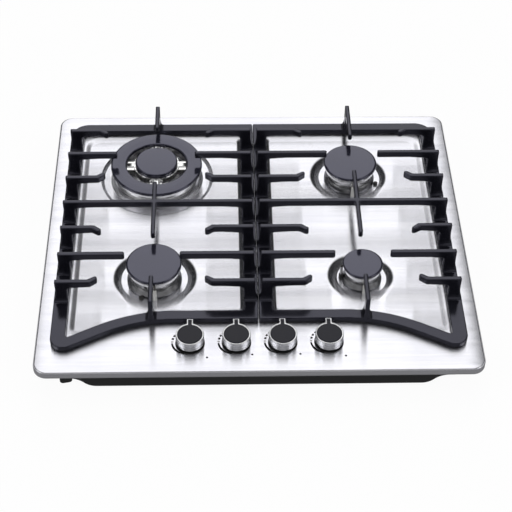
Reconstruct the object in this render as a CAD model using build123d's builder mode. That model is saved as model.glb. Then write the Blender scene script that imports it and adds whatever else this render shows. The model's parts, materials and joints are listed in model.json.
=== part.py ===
from build123d import *
import os
from math import cos, sin, radians, sqrt

# ---------------------------------------------------------------------------
# Four burner built-in gas cooktop.  Millimetres, +Z up, +Y to the back,
# origin under the middle of the base tray, on the surface it stands on.
# ---------------------------------------------------------------------------

# top plate
plate_w = 580.0          # across, X
plate_d = 506.0          # front to back, Y
plate_r = 18.0           # plan corner radius
sheet_t = 1.0            # sheet thickness
z_top = 50.0             # upper face of the plate
rim_h = 10.0             # turned down rim
rim_bend = 2.5           # outer bend radius of the rim
recess_depth = 2.5
z_floor = z_top - recess_depth
well_depth = 4.0
z_well = z_floor - well_depth
z_seat = z_well + 1.0     # the sheet rises again a little to the burner seat

# burners
bx = 141.0               # burner axes, left and right
by_back = 119.4
by_front = -83.3
cap_r = {"fl": 37.3, "br": 38.0, "fr": 27.1}
burner_pos = {"fl": (-139.3, -82.5), "br": (139.4, by_back), "fr": (142.2, by_front), "bl": (-bx, by_back)}
cup_body_r = {"fl": 27.0, "br": 27.0, "fr": 19.0, "bl": 54.0}
well_top_r = {"fl": 53.5, "br": 54.0, "fr": 43.5, "bl": 81.2}
well_floor_r = {"fl": 44.5, "br": 45.0, "fr": 35.0, "bl": 78.0}
flange_r = {"fl": 37.0, "br": 36.4, "fr": 27.0}
cap_drop = {"fl": 0.0, "br": 0.0, "fr": -2.0}   # the small burner sits lower

# knobs and taps
knob_x = (-90.0, -30.0, 30.0, 90.0)
knob_y = -204.0
knob_r = 18.3
spindle_r = 4.0
push = 3.0               # push-in travel of the knob

# pan grates
grate_out = 270.3        # outer face of the side rail
grate_gap = 0.25         # half gap between the two grates
bar_w = 15.5             # front and back bars
rail_w = 19.4            # side rail
mid_w = 19.0             # middle rail
post_out, post_mid = 3.4, 3.9   # the posts stand back from the rail faces at the top
z_bar0 = 51.5            # underside of the base frame, on 1.5 mm feet
z_bar1 = 59.5
z_grate = 95.0           # pan surface
finger_w = 6.5
finger_h = 9.5
row_y = (170.0, 119.4, 68.7, 18.0, -32.6, -83.3, -134.0)
grate_back = 224.5
grate_front = -170.5

# base tray
tray_x = 268.0
tray_y = 233.0
tray_t = 1.0
z_step = 16.0            # underside of the raised sides
pan_x = 212.0            # half width of the flat bottom
gland_r = 5.0            # bore of the cable gland
inlet_r = 10.4775        # G1/2 male thread, major radius

os.makedirs("parts", exist_ok=True)


def save(builder, name):
    builder.part.label = name
    print(name, flush=True)
    export_step(builder.part, "parts/" + name + ".step")


# ---------------------------------------------------------------------------
# top plate: folded sheet, pressed recesses, burner wells, holes, weld studs
# ---------------------------------------------------------------------------
stud_pos = [(-273.5, -150), (-273.5, 0), (-273.5, 150), (273.5, -150), (273.5, 0), (273.5, 150),
            (-150, 238), (150, 238), (-150, -238), (150, -238)]
# recess plan at plate level, x from the outer wall to the middle land
rec_x0, rec_x1 = 249.0, 15.5
rec_y0, rec_y1 = -152.5, 206.5
rec_wall = 7.5           # width of the sloping wall, seen in plan

# burner hole, electrode hole and thermocouple hole positions
electrode_off = {"fl": (1.5, -37.2), "br": (2.5, -38.0), "fr": (1.5, -27.5), "bl": (-38.0, 56.4)}
thermo_off = {"fl": (-17.0, -36.4), "br": (37.6, -14.2), "fr": (-28.2, 1.5), "bl": (38.0, 56.4)}


def inset_polygon(pts, d):
    """Corner points of a polygon (anticlockwise), moved inwards by d."""
    out = []
    n = len(pts)
    for k in range(n):
        (xa, ya), (xb, yb), (xc, yc) = pts[k - 1], pts[k], pts[(k + 1) % n]
        la, lb = sqrt((xb - xa) ** 2 + (yb - ya) ** 2), sqrt((xc - xb) ** 2 + (yc - yb) ** 2)
        na, nb = (-(yb - ya) / la, (xb - xa) / la), (-(yc - yb) / lb, (xc - xb) / lb)
        m = 1.0 + na[0] * nb[0] + na[1] * nb[1]
        out.append((xb + d * (na[0] + nb[0]) / m, yb + d * (na[1] + nb[1]) / m))
    return out


# recess plan, right side, anticlockwise; its front edge follows the arched front bar
recess_pts = [(rec_x1, rec_y0), (112.0, rec_y0), (160.0, -159.0), (205.0, -176.0), (rec_x0, -198.5), (rec_x0, rec_y1), (rec_x1, rec_y1)]


def recess_body(sign, z_hi, z_lo, grow):
    """Solid that fills one recess between two levels, wider at the top."""
    with BuildPart() as body:
        for z, d in ((z_hi, -grow), (z_lo, rec_wall - grow)):
            with BuildSketch(Plane.XY.offset(z)):
                Polygon(*[(sign * x, y) for x, y in inset_polygon(recess_pts, d)], align=None)
        loft(ruled=True)
    return body.part


with BuildPart() as top_plate:
    with BuildSketch(Plane.XY.offset(z_top - rim_h)):
        RectangleRounded(plate_w, plate_d, plate_r)
    extrude(amount=rim_h)
    fillet(top_plate.faces().sort_by(Axis.Z)[-1].edges(), rim_bend)
    with BuildSketch(Plane.XY.offset(z_top - rim_h)):
        RectangleRounded(plate_w - 2 * sheet_t, plate_d - 2 * sheet_t, plate_r - sheet_t)
    extrude(amount=rim_h - sheet_t, mode=Mode.SUBTRACT)
    # recesses: metal is added below, then the hollow is pressed from above
    for sgn in (-1, 1):
        add(recess_body(sgn, z_top, z_floor - sheet_t, 1.0))
    for sgn in (-1, 1):
        add(recess_body(sgn, z_top, z_floor, 0.0), mode=Mode.SUBTRACT)
    # burner wells
    for key, (cx, cy) in burner_pos.items():
        rt, rf = well_top_r[key], well_floor_r[key]
        with BuildSketch(Plane(origin=(cx, cy, 0), x_dir=(1, 0, 0), z_dir=(0, -1, 0))):
            Polygon((0, z_floor - 0.5), (rt + 1.0, z_floor - 0.5), (rf + 1.0, z_well - sheet_t), (0, z_well - sheet_t), align=None)
        revolve(axis=Axis((cx, cy, 0), (0, 0, 1)))
    for key, (cx, cy) in burner_pos.items():
        rt, rf = well_top_r[key], well_floor_r[key]
        with BuildSketch(Plane(origin=(cx, cy, 0), x_dir=(1, 0, 0), z_dir=(0, -1, 0))):
            if key == "bl":
                # the triple crown burner stands on a raised cone in its well
                Polygon((0, z_floor + 1), (rt, z_floor + 1), (rt, z_floor), (rf, z_well), (70.0, z_well), (62.5, z_floor - 0.4), (0, z_floor - 0.4), align=None)
            else:
                Polygon((0, z_floor + 1), (rt, z_floor + 1), (rt, z_floor), (rf, z_well), (rf - 7.0, z_seat), (0, z_seat), align=None)
        revolve(axis=Axis((cx, cy, 0), (0, 0, 1)), mode=Mode.SUBTRACT)
    with BuildSketch(Plane(origin=(-bx, by_back, 0), x_dir=(1, 0, 0), z_dir=(0, -1, 0))):
        # underside of that cone, so that the sheet keeps its thickness
        Polygon((0, z_well - 3), (70.5, z_well - 3), (69.5, z_well - sheet_t), (61.8, z_floor - 0.4 - sheet_t), (0, z_floor - 0.4 - sheet_t), align=None)
    revolve(axis=Axis((-bx, by_back, 0), (0, 0, 1)), mode=Mode.SUBTRACT)
    # holes
    for key, (cx, cy) in burner_pos.items():
        with BuildSketch(Plane.XY.offset(z_well - 5)):
            with Locations((cx, cy)):
                Circle(cup_body_r[key] + 0.4)
            for ox, oy in (electrode_off[key], thermo_off[key]):
                with Locations((cx + ox, cy + oy)):
                    Circle(3.4)
        extrude(amount=12, mode=Mode.SUBTRACT)
    with BuildSketch(Plane.XY.offset(z_top - 3)):
        with Locations(*[(x, knob_y) for x in knob_x]):
            Circle(6.0)
    extrude(amount=5, mode=Mode.SUBTRACT)
    # weld studs for the tray
    with BuildSketch(Plane.XY.offset(z_top - sheet_t)):
        with Locations(*stud_pos):
            Circle(2.0)
    extrude(amount=-7.5)
save(top_plate, "top_plate")

# ---------------------------------------------------------------------------
# worktop gasket: foam strip inside the rim, flush with its lower edge
# ---------------------------------------------------------------------------
with BuildPart() as worktop_gasket:
    with BuildSketch(Plane.XY.offset(z_top - rim_h)):
        RectangleRounded(plate_w - 2 * sheet_t, plate_d - 2 * sheet_t, plate_r - sheet_t)
        RectangleRounded(562, 488, 9, mode=Mode.SUBTRACT)
    extrude(amount=rim_h - sheet_t)
save(worktop_gasket, "worktop_gasket")


# ---------------------------------------------------------------------------
# base tray: drawn pan with raised sides and two raised rear corners
# ---------------------------------------------------------------------------
def tray_body(g, z_open):
    """Outer form of the tray, shrunk by g on every wall."""
    zs = z_step + g
    with BuildPart() as body:
        with BuildSketch(Plane.XY.offset(zs)):
            RectangleRounded(2 * (tray_x - g), 2 * (tray_y - g), 14 - g)
        extrude(amount=z_open - zs)
        with BuildSketch(Plane(origin=(0, -(tray_y - g), 0), x_dir=(1, 0, 0), z_dir=(0, 1, 0))) as prof:
            # section of the pan across X, with an S-shaped side; local y points down here
            with BuildLine():
                a = (pan_x - g * 0.6, g)
                m = (pan_x + 17.0 - g * 0.8, g + 8.2)
                b = (pan_x + 36.0, zs)
                l1 = TangentArc((a[0], -a[1]), (m[0], -m[1]), tangent=(1, 0))
                l2 = TangentArc((b[0], -b[1]), (m[0], -m[1]), tangent=(-1, 0))
                l3 = Polyline((b[0], -b[1]), (b[0], -(zs + 2)), (-b[0], -(zs + 2)), (-b[0], -b[1]))
                l4 = TangentArc((-b[0], -b[1]), (-m[0], -m[1]), tangent=(1, 0))
                l5 = TangentArc((-a[0], -a[1]), (-m[0], -m[1]), tangent=(-1, 0))
                l6 = Line((-a[0], -a[1]), (a[0], -a[1]))
            make_face()
        extrude(amount=2 * (tray_y - g))
        # raised rear corners, for the gas inlet and the cable gland
        with BuildSketch(Plane.XY.offset(-1)):
            with Locations((232.0, 195.0), (-232.0, 195.0)):
                RectangleRounded(92.0 + 2 * g, 80.0 + 2 * g, 10)
        extrude(amount=z_step + g + 1, mode=Mode.SUBTRACT)
    return body.part


with BuildPart() as base_tray:
    add(tray_body(0.0, z_top - sheet_t))
    with BuildSketch(Plane.XY.offset(z_top - sheet_t - tray_t)):
        RectangleRounded(556, 486, 16)
    extrude(amount=tray_t)
    add(tray_body(tray_t, z_top), mode=Mode.SUBTRACT)
    # holes: studs, clamp screws, rail screws, inlet, gland, drain and vents
    with BuildSketch(Plane.XY.offset(z_top - 4)):
        with Locations(*stud_pos):
            Circle(2.2)
    extrude(amount=6, mode=Mode.SUBTRACT)
    with BuildSketch(Plane.XY.offset(z_step - 2)):
        with Locations((238.0, 196.0)):
            Circle(inlet_r + 0.4)
        with Locations((-238.0, 196.0)):
            Circle(8.2)
        with Locations((-254, -215), (254, -215), (-254, 152), (254, 152)):
            Circle(2.5)
    extrude(amount=5, mode=Mode.SUBTRACT)
    with BuildSketch(Plane.XY.offset(-1)):
        with GridLocations(16, 0, 9, 1):
            SlotOverall(30, 5, rotation=90)
    extrude(amount=4, mode=Mode.SUBTRACT)
save(base_tray, "base_tray")

with BuildPart() as tray_nuts:
    with BuildSketch(Plane.XY.offset(z_top - sheet_t - tray_t)):
        with Locations(*stud_pos):
            RegularPolygon(3.5, 6, major_radius=False)
            Circle(2.0, mode=Mode.SUBTRACT)
    extrude(amount=-3.2)
save(tray_nuts, "tray_nuts")

# ---------------------------------------------------------------------------
# worktop clamps: bent strips that swivel on screws under the raised sides
# ---------------------------------------------------------------------------
clamp_piv = {"fl": (-254.0, -215.0), "fr": (254.0, -215.0), "bl": (-254.0, 152.0), "br": (254.0, 152.0)}
# direction in which each arm points at rest, degrees from +X
clamp_dir = {"fl": -80.0, "fr": 0.0, "bl": 180.0, "br": 0.0}
clamp_len = 22.6
z_clamp = 12.6
for key, (cx, cy) in clamp_piv.items():
    ux, uy = cos(radians(clamp_dir[key])), sin(radians(clamp_dir[key]))
    pl = Plane(origin=(cx, cy, z_clamp), x_dir=(ux, uy, 0), z_dir=(0, 0, 1))
    with BuildPart() as clamp:
        with BuildSketch(pl):
            with BuildLine():
                Polyline((0, 8), (clamp_len - 7, 8), (clamp_len - 1, 3.6), (clamp_len - 1, -3.6), (clamp_len - 7, -8), (0, -8))
                ThreePointArc((0, -8), (-8, 0), (0, 8))
            make_face()
            Circle(2.6, mode=Mode.SUBTRACT)
        extrude(amount=2.0)
        # turned-up end with rounded corners, which bites under the worktop
        with BuildSketch(Plane(origin=(cx + ux * clamp_len, cy + uy * clamp_len, z_clamp), x_dir=(-uy, ux, 0), z_dir=(ux, uy, 0))) as end:
            with Locations((0, 6.5)):
                RectangleRounded(16.0, 13.0, 4.6)
        extrude(amount=-2.0)
    save(clamp, "clamp_" + key)

with BuildPart() as clamp_screws:
    # headed screw, running through the clamp, fixed in the tray's raised side with a nut inside
    for cx, cy in clamp_piv.values():
        with BuildSketch(Plane(origin=(cx, cy, 0), x_dir=(1, 0, 0), z_dir=(0, -1, 0))):
            Polygon((0, 8.6), (4.4, 8.6), (4.4, z_clamp - 0.3), (2.5, z_clamp - 0.3), (2.5, z_clamp + 2.3), (4.5, z_clamp + 2.3), (4.5, z_step), (2.5, z_step),
                    (2.5, z_step + tray_t), (4.0, z_step + tray_t), (4.0, z_step + tray_t + 3.2), (2.5, z_step + tray_t + 3.2),
                    (2.5, z_step + 7), (0, z_step + 7), align=None)
        revolve(axis=Axis((cx, cy, 0), (0, 0, 1)))
save(clamp_screws, "clamp_screws")


# ---------------------------------------------------------------------------
# pan grates
# ---------------------------------------------------------------------------
arch_x, arch_r = -110.0, 201.0   # the front bar is straight up to arch_x, then arched
arch_end = -204.0


def frame_points(d, dx):
    """Plan outline of the left grate's base frame, moved inwards by d, and by dx at the side rail."""
    yc = grate_front - arch_r
    nx = (arch_end - arch_x) / arch_r
    ny = sqrt(1.0 - nx * nx)
    hx = ((arch_end - arch_x) / 2) / arch_r
    hy = sqrt(1.0 - hx * hx)
    r = arch_r + d
    start = (arch_x, yc + r)
    mid = (arch_x + hx * r, yc + hy * r)
    end = (arch_x + nx * r, yc + ny * r)
    k = (-grate_out + dx - end[0]) / -ny
    corner = (-grate_out + dx, end[1] + nx * k)
    return start, mid, end, corner


def make_grate(side, tip1, mid_back, back_tip):
    """side is -1 for left and +1 for right; tip1 is the finger gap at the back burner."""
    s = -side            # the left grate is drawn, the right one is its mirror

    def fx(x):
        return s * x

    with BuildPart() as grate:
        for d, dx, dm in ((0.0, 0.0, 0.0), (bar_w, rail_w, mid_w)):
            start, mid, end, corner = frame_points(d, dx)
            x_in, x_out, y_bk = -grate_gap - dm, -grate_out + dx, grate_back - d
            with BuildSketch(Plane.XY.offset(z_bar0)) as sk:
                with BuildLine():
                    Line((fx(x_in), start[1]), (fx(start[0]), start[1]))
                    ThreePointArc((fx(start[0]), start[1]), (fx(mid[0]), mid[1]), (fx(end[0]), end[1]))
                    Polyline((fx(end[0]), end[1]), (fx(corner[0]), corner[1]), (fx(x_out), y_bk), (fx(x_in), y_bk), (fx(x_in), start[1]))
                make_face()
                vs = sk.vertices()
                sharp = vs.filter_by(lambda v: abs(v.X - fx(x_out)) < 0.5 and v.Y < 0)
                fillet(sharp, 17.0 if d == 0 else 3.0)
                fillet(sk.vertices().filter_by(lambda v: abs(v.X - fx(x_out)) < 0.5 and v.Y > 200), 26.0 if d == 0 else 6.0)
                fillet(sk.vertices().filter_by(lambda v: abs(v.X - fx(x_in)) < 0.5), 3.0 if d == 0 else 3.5)
            extrude(amount=z_bar1 - z_bar0, mode=Mode.ADD if d == 0 else Mode.SUBTRACT)

        w2 = finger_w / 2
        z0 = z_grate - finger_h
        for i, y in enumerate(row_y):
            # posts on the side rail and on the middle rail, flared at the foot
            for xa, xb, back in ((-grate_out, -grate_out + rail_w, post_out), (-grate_gap, -grate_gap - mid_w, post_mid)):
                x_lo = min(fx(xa), fx(xb))
                w_post = abs(xb - xa)
                t = 1.0 if xb > xa else -1.0
                with BuildSketch(Plane.YZ.offset(x_lo)):
                    Polygon((y - w2, z_grate), (y + w2, z_grate), (y + w2, z_bar1 + 7), (y + w2 + 1.0, z_bar1 + 3), (y + w2 + 3.5, z_bar1 - 0.5),
                            (y - w2 - 3.5, z_bar1 - 0.5), (y - w2 - 1.0, z_bar1 + 3), (y - w2, z_bar1 + 7), align=None)
                extrude(amount=w_post)
                # the outward face leans back and flares again into the rail
                with BuildSketch(Plane(origin=(0, y - 9, 0), x_dir=(1, 0, 0), z_dir=(0, -1, 0))):
                    Polygon(*[(fx(xa + t * k), z) for k, z in ((back, z_grate + 1), (back, z_grate - 4), (back + 0.2, 84.0), (back, 75.0), (back * 0.72, 67.5), (back * 0.4, 63.0),
                                                               (0.0, z_bar1), (-2.0, z_bar1), (-2.0, z_grate + 1))], align=None)
                extrude(amount=-18.0, mode=Mode.SUBTRACT)
            # fingers
            xo, xi = -grate_out + post_out, -grate_gap - post_mid
            if i == 3:
                spans = [(xo, xi, 0.0)]
            elif i == 1:
                spans = [(xo, -bx - tip1, 0.0), (xi, -bx + tip1, 0.0)]
            elif i == 5:
                spans = [(xo, -bx - 37.0, 0.0), (xi, -bx + 37.0, 0.0)]
            else:
                bend = -6.0 if i in (0, 4) else 6.0
                spans = [(xo, -bx - 70.5, bend), (xi, -bx + 70.5, bend)]
            for x0, x1, bend in spans:
                d = 1.0 if x1 > x0 else -1.0
                with BuildSketch(Plane.XY.offset(z0)) as fsk:
                    with BuildLine():
                        if bend == 0.0:
                            r = 1.6 if i != 3 else 0.0
                            Polyline((fx(x0), y - w2), (fx(x1), y - w2), (fx(x1), y + w2), (fx(x0), y + w2), (fx(x0), y - w2))
                        else:
                            # hooked tip, bent towards the burner
                            xk = x1 - d * 11.0
                            sg = 1.0 if bend > 0 else -1.0
                            near, far = y + sg * w2, y - sg * w2
                            ex = x1 - d * 1.7
                            Polyline((fx(x0), near), (fx(xk - d * 1.2), near), (fx(ex - d * 2.6), near + bend - sg * 1.0))
                            ThreePointArc((fx(ex - d * 2.6), near + bend - sg * 1.0), (fx(x1), y + bend + sg * 0.6), (fx(ex), far + bend))
                            Polyline((fx(ex), far + bend), (fx(xk + d * 1.8), far), (fx(x0), far), (fx(x0), near))
                    make_face()
                    if bend == 0.0 and i != 3:
                        fillet(fsk.vertices().filter_by(lambda v: abs(v.X - fx(x1)) < 0.1), 2.4)
                extrude(amount=finger_h)
                # root gusset below the finger, on both sides of a full bar
                roots = [(x0, d)] if i != 3 else [(xo, 1.0), (xi, -1.0)]
                for xr, dd in roots:
                    xp = (-grate_out + rail_w if xr < -200 else -grate_gap - mid_w) - dd * 0.5
                    with BuildSketch(Plane(origin=(0, y - w2, 0), x_dir=(1, 0, 0), z_dir=(0, -1, 0))):
                        Polygon((fx(xp), z0 + 0.5), (fx(xp + dd * 32), z0 + 0.5), (fx(xp + dd * 24), z0 - 0.2), (fx(xp + dd * 6), z0 - 1.5),
                                (fx(xp + dd * 2.4), z0 - 2.6), (fx(xp + dd * 0.9), z0 - 4.6), (fx(xp), z0 - 8.0), align=None)
                    extrude(amount=-finger_w)
        # fingers that run front to back, and their legs
        lw = 3.0
        for y0, y1, leg in ((back_tip, grate_back - 1.0, (grate_back - bar_w, grate_back - 0.5)), (-47.0, mid_back, None), (-171.0, -124.5, (-172.2, -157.2))):
            with BuildSketch(Plane.XY.offset(z0)):
                with Locations((fx(-bx), (y0 + y1) / 2)):
                    RectangleRounded(2 * lw, y1 - y0, 2.2)
            extrude(amount=finger_h)
            if leg:
                with BuildSketch(Plane(origin=(fx(-bx), leg[0], 0), x_dir=(1, 0, 0), z_dir=(0, -1, 0))):
                    Polygon((-lw, z_grate), (lw, z_grate), (lw, z_bar1 + 10), (lw + 1.0, z_bar1 + 4), (lw + 3.2, z_bar1 - 0.5),
                            (-lw - 3.2, z_bar1 - 0.5), (-lw - 1.0, z_bar1 + 4), (-lw, z_bar1 + 10), align=None)
                extrude(amount=-(leg[1] - leg[0]))
        # blind holes for the feet
        with BuildSketch(Plane.XY.offset(z_bar0)):
            with Locations(*[(fx(x), y) for x, y in foot_pos]):
                Circle(2.2)
        extrude(amount=4.0, mode=Mode.SUBTRACT)
    return grate


foot_pos = [(-259.2, 190.0), (-259.2, 30.0), (-259.2, -190.0), (-9.0, 216.0), (-9.0, -10.0), (-60.0, -163.0)]

grate_left = make_grate(-1, 55.5, 58.5, 174.5)
save(grate_left, "grate_left")
grate_right = make_grate(1, 36.5, 80.0, 155.5)
save(grate_right, "grate_right")

for side, sx in (("left", 1), ("right", -1)):
    with BuildPart() as grate_feet:
        with BuildSketch(Plane.XY.offset(z_top)):
            with Locations(*[(sx * x, y) for x, y in foot_pos]):
                Circle(4.5)
        extrude(amount=z_bar0 - z_top)
        with BuildSketch(Plane.XY.offset(z_bar0)):
            with Locations(*[(sx * x, y) for x, y in foot_pos]):
                Circle(2.2)
        extrude(amount=3.8)
    save(grate_feet, "grate_feet_" + side)

# ---------------------------------------------------------------------------
# burners
# ---------------------------------------------------------------------------
z_cup = 18.5             # underside of the cups, on the support rails
for key in ("fl", "br", "fr"):
    cx, cy = burner_pos[key]
    rc, rb, fr, dz = cap_r[key], cup_body_r[key], flange_r[key], cap_drop[key]
    axis = Axis((cx, cy, 0), (0, 0, 1))
    sec = Plane(origin=(cx, cy, 0), x_dir=(1, 0, 0), z_dir=(0, -1, 0))
    with BuildPart() as cup:
        with BuildSketch(sec):
            Polygon((4.0, 12.5), (8.5, 12.5), (8.5, z_cup), (rb, z_cup), (rb, z_seat), (fr, z_seat), (fr, z_seat + 1.8),
                    (rc - 3.4, 50.2), (rc - 4.6, 51.5), (rc - 6.8, 51.5), (rc - 6.8, z_seat + 3.5), (rb - 3.0, z_seat + 1.5),
                    (rb - 3.0, z_cup + 3.0), (4.0, z_cup + 3.0), align=None)
        revolve(axis=axis)
        with BuildSketch(Plane.XY.offset(z_seat - 1)):
            for ox, oy in (electrode_off[key], thermo_off[key]):
                with Locations((cx + ox, cy + oy)):
                    Circle(3.2)
        extrude(amount=20, mode=Mode.SUBTRACT)
        with BuildSketch(Plane.XY.offset(z_cup)):
            with Locations((cx - 13, cy), (cx + 13, cy)):
                Circle(1.75)
        extrude(amount=2.4, mode=Mode.SUBTRACT)
    save(cup, "burner_cup_" + key)
    with BuildPart() as head:
        with BuildSketch(sec):
            # skirt inside the cup, shadow neck, bright rim, mixing tube down the middle
            Polygon((rc - 9.5, 49.0), (rc - 7.0, 49.0), (rc - 7.0, 51.5), (rc - 5.2, 51.5), (rc - 5.2, 54.2), (rc - 3.4, 54.7), (rc - 2.6, 62.0),
                    (rc - 2.2, 70.0 + dz), (rc - 7.5, 70.0 + dz), (rc - 7.5, 65.0 + dz), (5.0, 65.0 + dz), (5.0, 32.0), (7.5, 32.0), (7.5, 62.0 + dz),
                    (rc - 9.5, 62.0 + dz), align=None)
        revolve(axis=axis)
        # flame ports cut in the rim
        n_port = 36 if rc > 30 else 24
        with BuildSketch(Plane(origin=(cx, cy, 68.0 + dz), x_dir=(1, 0, 0), z_dir=(0, 0, 1))):
            with PolarLocations(rc - 4.5, n_port):
                Rectangle(9.0, 1.5)
        extrude(amount=5.0, mode=Mode.SUBTRACT)
    save(head, "burner_head_" + key)
    with BuildPart() as cap:
        with BuildSketch(sec):
            with BuildLine():
                Polyline((0, 71.2 + dz), (rc - 10.0, 71.2 + dz), (rc - 10.0, 68.4 + dz), (rc - 8.0, 68.4 + dz), (rc - 8.0, 70.3 + dz), (rc - 0.4, 70.3 + dz), (rc, 70.9 + dz), (rc, 73.2 + dz))
                ThreePointArc((rc, 73.2 + dz), (rc - 0.6, 74.35 + dz), (rc - 2.0, 74.8 + dz))
                Polyline((rc - 2.0, 74.8 + dz), (0, 75.0 + dz), (0, 71.2 + dz))
            make_face()
        revolve(axis=axis)
    save(cap, "burner_cap_" + key)

# triple crown burner, back left
cx, cy = burner_pos["bl"]
axis = Axis((cx, cy, 0), (0, 0, 1))
sec = Plane(origin=(cx, cy, 0), x_dir=(1, 0, 0), z_dir=(0, -1, 0))
z_cone = z_floor - 0.4   # top of the raised cone that carries the cup
with BuildPart() as cup:
    with BuildSketch(sec):
        Polygon((4.0, 12.5), (8.5, 12.5), (8.5, z_cup), (54.0, z_cup), (54.0, z_cone), (62.0, z_cone), (61.8, 49.0), (58.0, 56.0), (55.0, 56.0),
                (55.0, 50.0), (51.0, 48.0), (51.0, z_cup + 3.0), (4.0, z_cup + 3.0), align=None)
    revolve(axis=axis)
    with BuildSketch(Plane.XY.offset(z_cup)):
        with Locations((cx - 13, cy), (cx + 13, cy)):
            Circle(1.75)
    extrude(amount=2.4, mode=Mode.SUBTRACT)
save(cup, "burner_cup_bl")
with BuildPart() as head:
    with BuildSketch(sec):
        # outer crown: skirt in the cup, neck, bright outer rim and inner rim
        Polygon((52.4, 50.5), (54.7, 50.5), (54.7, 56.0), (59.0, 56.0), (58.6, 59.5), (62.2, 60.5), (62.8, 68.6), (58.0, 68.6), (58.0, 64.0),
                (50.5, 64.0), (50.5, 68.6), (45.2, 68.6), (44.8, 58.0), (48.5, 56.5), (52.4, 56.5), align=None)
    revolve(axis=axis)
    with BuildSketch(sec):
        # centre crown with its mixing tube
        Polygon((5.0, 32.0), (7.5, 32.0), (7.5, 62.0), (26.0, 62.0), (26.0, 60.0), (31.2, 60.0), (32.8, 64.0), (32.8, 73.2), (27.0, 73.2), (27.0, 69.0),
                (5.0, 69.0), align=None)
    revolve(axis=axis)
    # four bridges with a raised rib
    for k in range(4):
        pl = Plane(origin=(cx, cy, 58.0), x_dir=(cos(radians(90 * k)), sin(radians(90 * k)), 0), z_dir=(0, 0, 1))
        with BuildSketch(pl):
            with Locations((39.0, 0)):
                Rectangle(15.0, 19.0)
        extrude(amount=9.5)
        with BuildSketch(pl):
            with Locations((36.6, 0)):
                Rectangle(10.6, 19.0)
        extrude(amount=12.0)
        with BuildSketch(pl):
            with Locations((37.0, 0)):
                Rectangle(11.4, 7.0)
        extrude(amount=14.0)
    for zp, rp, n_port in ((66.8, 60.5, 60), (71.2, 29.8, 28)):
        with BuildSketch(Plane(origin=(cx, cy, zp), x_dir=(1, 0, 0), z_dir=(0, 0, 1))):
            with PolarLocations(rp, n_port):
                Rectangle(9.0 if rp > 40 else 8.0, 1.5)
        extrude(amount=3.0, mode=Mode.SUBTRACT)
save(head, "burner_head_bl")
with BuildPart() as cap:
    with BuildSketch(sec):
        with BuildLine():
            Polyline((44.0, 68.9), (51.2, 68.9), (51.2, 67.0), (53.0, 67.0), (53.0, 68.9), (65.0, 68.9), (65.6, 69.6), (65.6, 72.2))
            ThreePointArc((65.6, 72.2), (65.0, 73.4), (63.6, 73.9))
            Polyline((63.6, 73.9), (54.6, 74.2), (45.4, 73.9))
            ThreePointArc((45.4, 73.9), (44.0, 73.4), (43.4, 72.2))
            Polyline((43.4, 72.2), (43.4, 69.6), (44.0, 68.9))
        make_face()
    revolve(axis=axis)
save(cap, "burner_cap_bl_ring")
with BuildPart() as cap:
    with BuildSketch(sec):
        with BuildLine():
            Polyline((0, 74.2), (24.0, 74.2), (24.0, 71.4), (26.0, 71.4), (26.0, 73.5), (30.0, 73.5), (30.4, 74.0), (30.4, 77.0))
            ThreePointArc((30.4, 77.0), (29.8, 78.4), (28.4, 78.9))
            Polyline((28.4, 78.9), (0, 79.2), (0, 74.2))
        make_face()
    revolve(axis=axis)
save(cap, "burner_cap_bl_centre")

# injectors: brass jets screwed into the cup bottoms
with BuildPart() as injectors:
    for key, (cx, cy) in burner_pos.items():
        with BuildSketch(Plane(origin=(cx, cy, 0), x_dir=(1, 0, 0), z_dir=(0, -1, 0))):
            Polygon((0.6, 17.0), (4.0, 17.0), (4.0, z_cup + 3.0), (4.6, z_cup + 3.0), (4.6, z_cup + 6.0), (3.0, z_cup + 8.0), (0.6, z_cup + 8.0), align=None)
        revolve(axis=Axis((cx, cy, 0), (0, 0, 1)))
save(injectors, "injectors")

# igniter electrodes and thermocouples
el_top = {"fl": 60.0, "br": 60.0, "fr": 58.0, "bl": 59.0}
with BuildPart() as electrode_ceramics:
    for key, (cx, cy) in burner_pos.items():
        ox, oy = electrode_off[key]
        with BuildSketch(Plane(origin=(cx + ox, cy + oy, 0), x_dir=(1, 0, 0), z_dir=(0, -1, 0))):
            zt = el_top[key]
            Polygon((1.0, 30.0), (2.6, 30.0), (2.6, 38.0), (3.1, 39.0), (3.1, 43.0), (2.6, 44.0), (2.6, zt - 1.5), (1.8, zt), (1.0, zt), align=None)
        revolve(axis=Axis((cx + ox, cy + oy, 0), (0, 0, 1)))
save(electrode_ceramics, "electrode_ceramics")
with BuildPart() as electrode_pins:
    for key, (cx, cy) in burner_pos.items():
        ox, oy = electrode_off[key]
        with BuildSketch(Plane(origin=(cx + ox, cy + oy, 0), x_dir=(1, 0, 0), z_dir=(0, -1, 0))):
            zt = el_top[key]
            Polygon((0, 26.0), (1.0, 26.0), (1.0, zt + 1.0), (1.6, zt + 1.6), (1.6, zt + 6.0), (1.0, zt + 7.5), (0, zt + 7.5), align=None)
        revolve(axis=Axis((cx + ox, cy + oy, 0), (0, 0, 1)))
save(electrode_pins, "electrode_pins")
tc_top = {"fl": 47.4, "br": 47.4, "fr": 67.0, "bl": 66.0}
with BuildPart() as thermocouples:
    for key, (cx, cy) in burner_pos.items():
        ox, oy = thermo_off[key]
        with BuildSketch(Plane(origin=(cx + ox, cy + oy, 0), x_dir=(1, 0, 0), z_dir=(0, -1, 0))):
            zt = tc_top[key]
            if zt < 50:
                Polygon((0, 30.0), (2.0, 30.0), (2.0, 37.0), (3.1, 38.0), (3.1, zt - 0.8), (2.3, zt), (0, zt), align=None)
            else:
                Polygon((0, 30.0), (2.0, 30.0), (2.0, 37.0), (3.1, 38.0), (3.1, 50.0), (2.0, 51.0), (2.0, zt - 1.5), (1.2, zt), (0, zt), align=None)
        revolve(axis=Axis((cx + ox, cy + oy, 0), (0, 0, 1)))
save(thermocouples, "thermocouples")

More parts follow.
